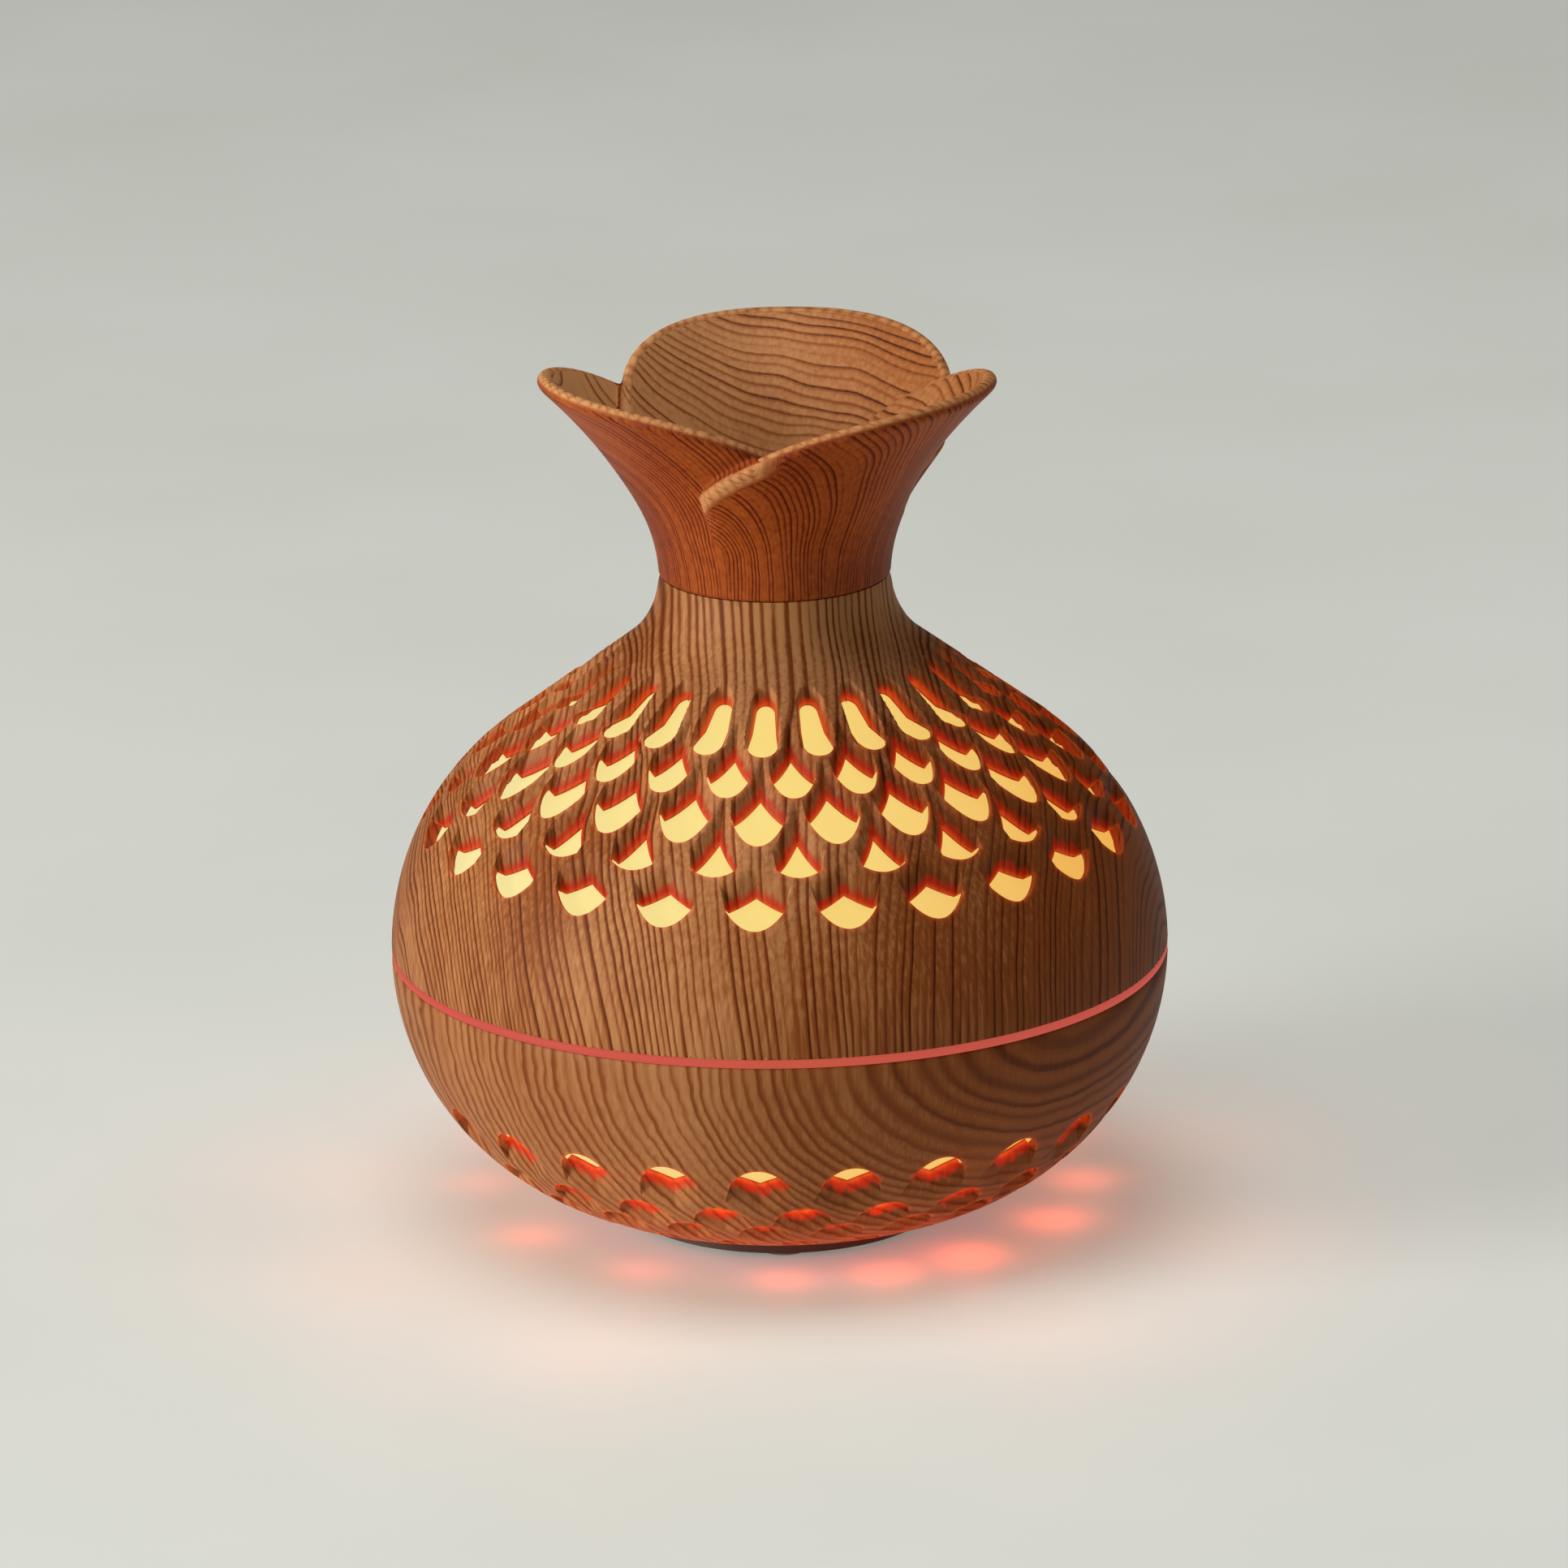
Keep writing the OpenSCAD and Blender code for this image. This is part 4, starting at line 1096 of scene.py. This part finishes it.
def key_mark(name, node, body, outlines):
    """Raised mark on the outer face of a push button, from closed outlines in millimetres."""
    low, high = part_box(node)
    middle = (low + high) / 2
    out = Vector((middle.x, middle.y, 0)).normalized()
    face = max((nodes[node].matrix_world @ v.co).dot(out) for v in nodes[node].data.vertices)
    side = Vector((0, 0, 1)).cross(out)
    centre = Vector((0, 0, middle.z)) + out * (face - MARK_SINK * MM)
    bm = bmesh.new()
    for outline in outlines:
        ring = [bm.verts.new(centre + side * (u * MM) + Vector((0, 0, v * MM))) for u, v in outline]
        front = bmesh.ops.extrude_face_region(bm, geom=[bm.faces.new(ring)])
        moved = [v for v in front["geom"] if isinstance(v, bmesh.types.BMVert)]
        bmesh.ops.translate(bm, verts=moved, vec=out * (MARK_T * MM))
    mesh = bpy.data.meshes.new(name)
    bm.to_mesh(mesh)
    bm.free()
    mark = finish_mesh(linked(name, mesh), 40, 0.0005)
    give(mark, moulded(name + "_ink", srgb(196, 160, 122)))
    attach(mark, body)


def arc_outline(v0, size, turns):
    return [(size * math.cos(t), v0 + size * math.sin(t)) for t in turns]


def ray_outline(turn, near, far, half):
    c, n = math.cos(turn), math.sin(turn)
    corners = ((near, -half), (far, -half * 0.7), (far, half * 0.7), (near, half))
    return [(c * a - n * b, n * a + c * b) for a, b in corners]


# A drop with a pointed top, and a sun
DROP = arc_outline(-0.5, 0.95, np.radians(np.linspace(35, -215, 19))) + [(0, 1.495)]
SUN = [arc_outline(0, 0.75, np.arange(24) * math.pi / 12)]
SUN += [ray_outline(k * math.pi / 4, 1.15, 1.8, 0.17) for k in range(8)]
key_mark("mist_mark", "mist_button", "mist_key", [DROP])
key_mark("light_mark", "light_button", "light_key", SUN)

# ------------ stage, lights and camera


def pale_floor():
    bpy.ops.mesh.primitive_plane_add(size=8)
    plane = bpy.context.object
    plane.name = "floor"
    g = Graph("floor_paper")
    cloud = g.noise(g.vector(*g.place()), 3.0, scale=0.01)
    g.set("Base Color", g.ramp(cloud, [(0.3, srgb(200, 202, 195)), (0.7, srgb(205, 206, 200))]))
    g.set("Roughness", 0.55)
    give(plane, g.material)
    return plane


def disc_lamp(name, place, size, power, colour):
    """Round lamp that shines straight down until it is turned."""
    data = bpy.data.lights.new(name, "AREA")
    data.shape = "DISK"
    data.size = size
    data.energy = power
    data.color = colour
    lamp = linked(name, data)
    lamp.location = place
    return lamp


def area_light(name, place, aim, size, power, colour, only_on=None):
    lamp = disc_lamp(name, place, size, power, colour)
    lamp.rotation_mode = "QUATERNION"
    lamp.rotation_quaternion = (Vector(aim) - Vector(place)).to_track_quat("-Z", "Y")
    if only_on:
        group = bpy.data.collections.new(name + "_target")
        group.objects.link(only_on)
        lamp.light_linking.receiver_collection = group
        lamp.light_linking.blocker_collection = group


# Direction in degrees and strength of each patch of light under the lowest openings
GLOW_PATCHES = ((-90, 0.3), (-57, 0.5), (-27, 0.5), (0, 0.7), (19, 1.1), (37, 1.3), (63, 1.0), (87, 0.7),
                (115, 0.6), (146, 0.6), (180, 0.6), (212, 0.6), (243, 0.6))
GLOW_R = 47.0
GLOW_BACK = 14.0
GLOW_LIFT = 5.4
GLOW_CLEAR = 0.9
GLOW_DISC_R = 4.5
GLOW_POWER = 0.000014
GLOW_RED = (1.0, 0.09, 0.03)
WIDE_ANGLES = (35, 75, 115, 155, 215, 255, 295, 335)
WIDE_R = 72.0
WIDE_LIFT = 26.0
WIDE_DISC_R = 8.0
WIDE_POWER = 0.0016
WIDE_RED = (1.0, 0.22, 0.12)


def floor_glow():
    """Soft red patches on the floor under the bowl, on a ring set back, and a faint wide glow."""
    for degrees, strength in GLOW_PATCHES:
        a = math.radians(degrees)
        spot = Vector((GLOW_R * math.sin(a), GLOW_BACK - GLOW_R * math.cos(a), GLOW_LIFT))
        reach = min(math.hypot(spot.x, spot.y), BELLY_R)
        underside = BOWL_C[1] - math.sqrt(BOWL_ARC ** 2 - (reach - BOWL_C[0]) ** 2)
        spot.z = min(GLOW_LIFT, underside - GLOW_CLEAR)
        watts = GLOW_POWER * strength * (GLOW_DISC_R ** 2 + spot.z ** 2)
        disc_lamp("glow", spot * MM, 2 * GLOW_DISC_R * MM, watts, GLOW_RED)
    for degrees in WIDE_ANGLES:
        a = math.radians(degrees)
        spot = Vector((WIDE_R * math.sin(a), -WIDE_R * math.cos(a), WIDE_LIFT))
        disc_lamp("glow", spot * MM, 2 * WIDE_DISC_R * MM, WIDE_POWER, WIDE_RED)


def stage_lights(ground):
    world = bpy.data.worlds.new("studio")
    world.use_nodes = True
    background = world.node_tree.nodes["Background"]
    background.inputs["Color"].default_value = srgb(232, 232, 226)
    background.inputs["Strength"].default_value = 0.04
    bpy.context.scene.world = world
    area_light("key", (-1.75, -0.75, 0.56), (0, 0, 0.06), 0.9, 33.0, (1.0, 0.98, 0.95))
    area_light("top", (-0.4, -0.45, 2.8), (-0.1, 0.1, 0), 2.0, 42.0, (1.0, 1.0, 0.985))
    area_light("backdrop", (0.0, -0.5, 2.8), (0, 0, 0), 2.0, 36.0, (0.99, 1.0, 0.99), ground)
    area_light("right", (1.0, -0.2, 2.2), (0, 0, 0.1), 0.8, 5.0, (1.0, 0.96, 0.92))
    floor_glow()


CAMERA_PLACE = (0, -1.60186, 0.55844)
CAMERA_TURN = Matrix.Rotation(math.radians(-0.035), 3, "Z")
CAMERA_TILT = Matrix.Rotation(math.radians(90 - 16.993), 3, "X")
CAMERA_ROLL = Matrix.Rotation(-0.01327, 3, "Z")
CAMERA_LENS = 249.7


def photo_camera():
    """Camera at the photo's height and tilt, with its small roll."""
    data = bpy.data.cameras.new("camera")
    data.lens = CAMERA_LENS
    data.sensor_width = 36
    data.clip_end = 50
    camera = linked("camera", data)
    camera.matrix_world = (CAMERA_TURN @ CAMERA_TILT @ CAMERA_ROLL).to_4x4()
    camera.location = CAMERA_PLACE
    bpy.context.scene.camera = camera


stage_lights(pale_floor())
photo_camera()
bpy.context.scene.view_settings.view_transform = "Standard"
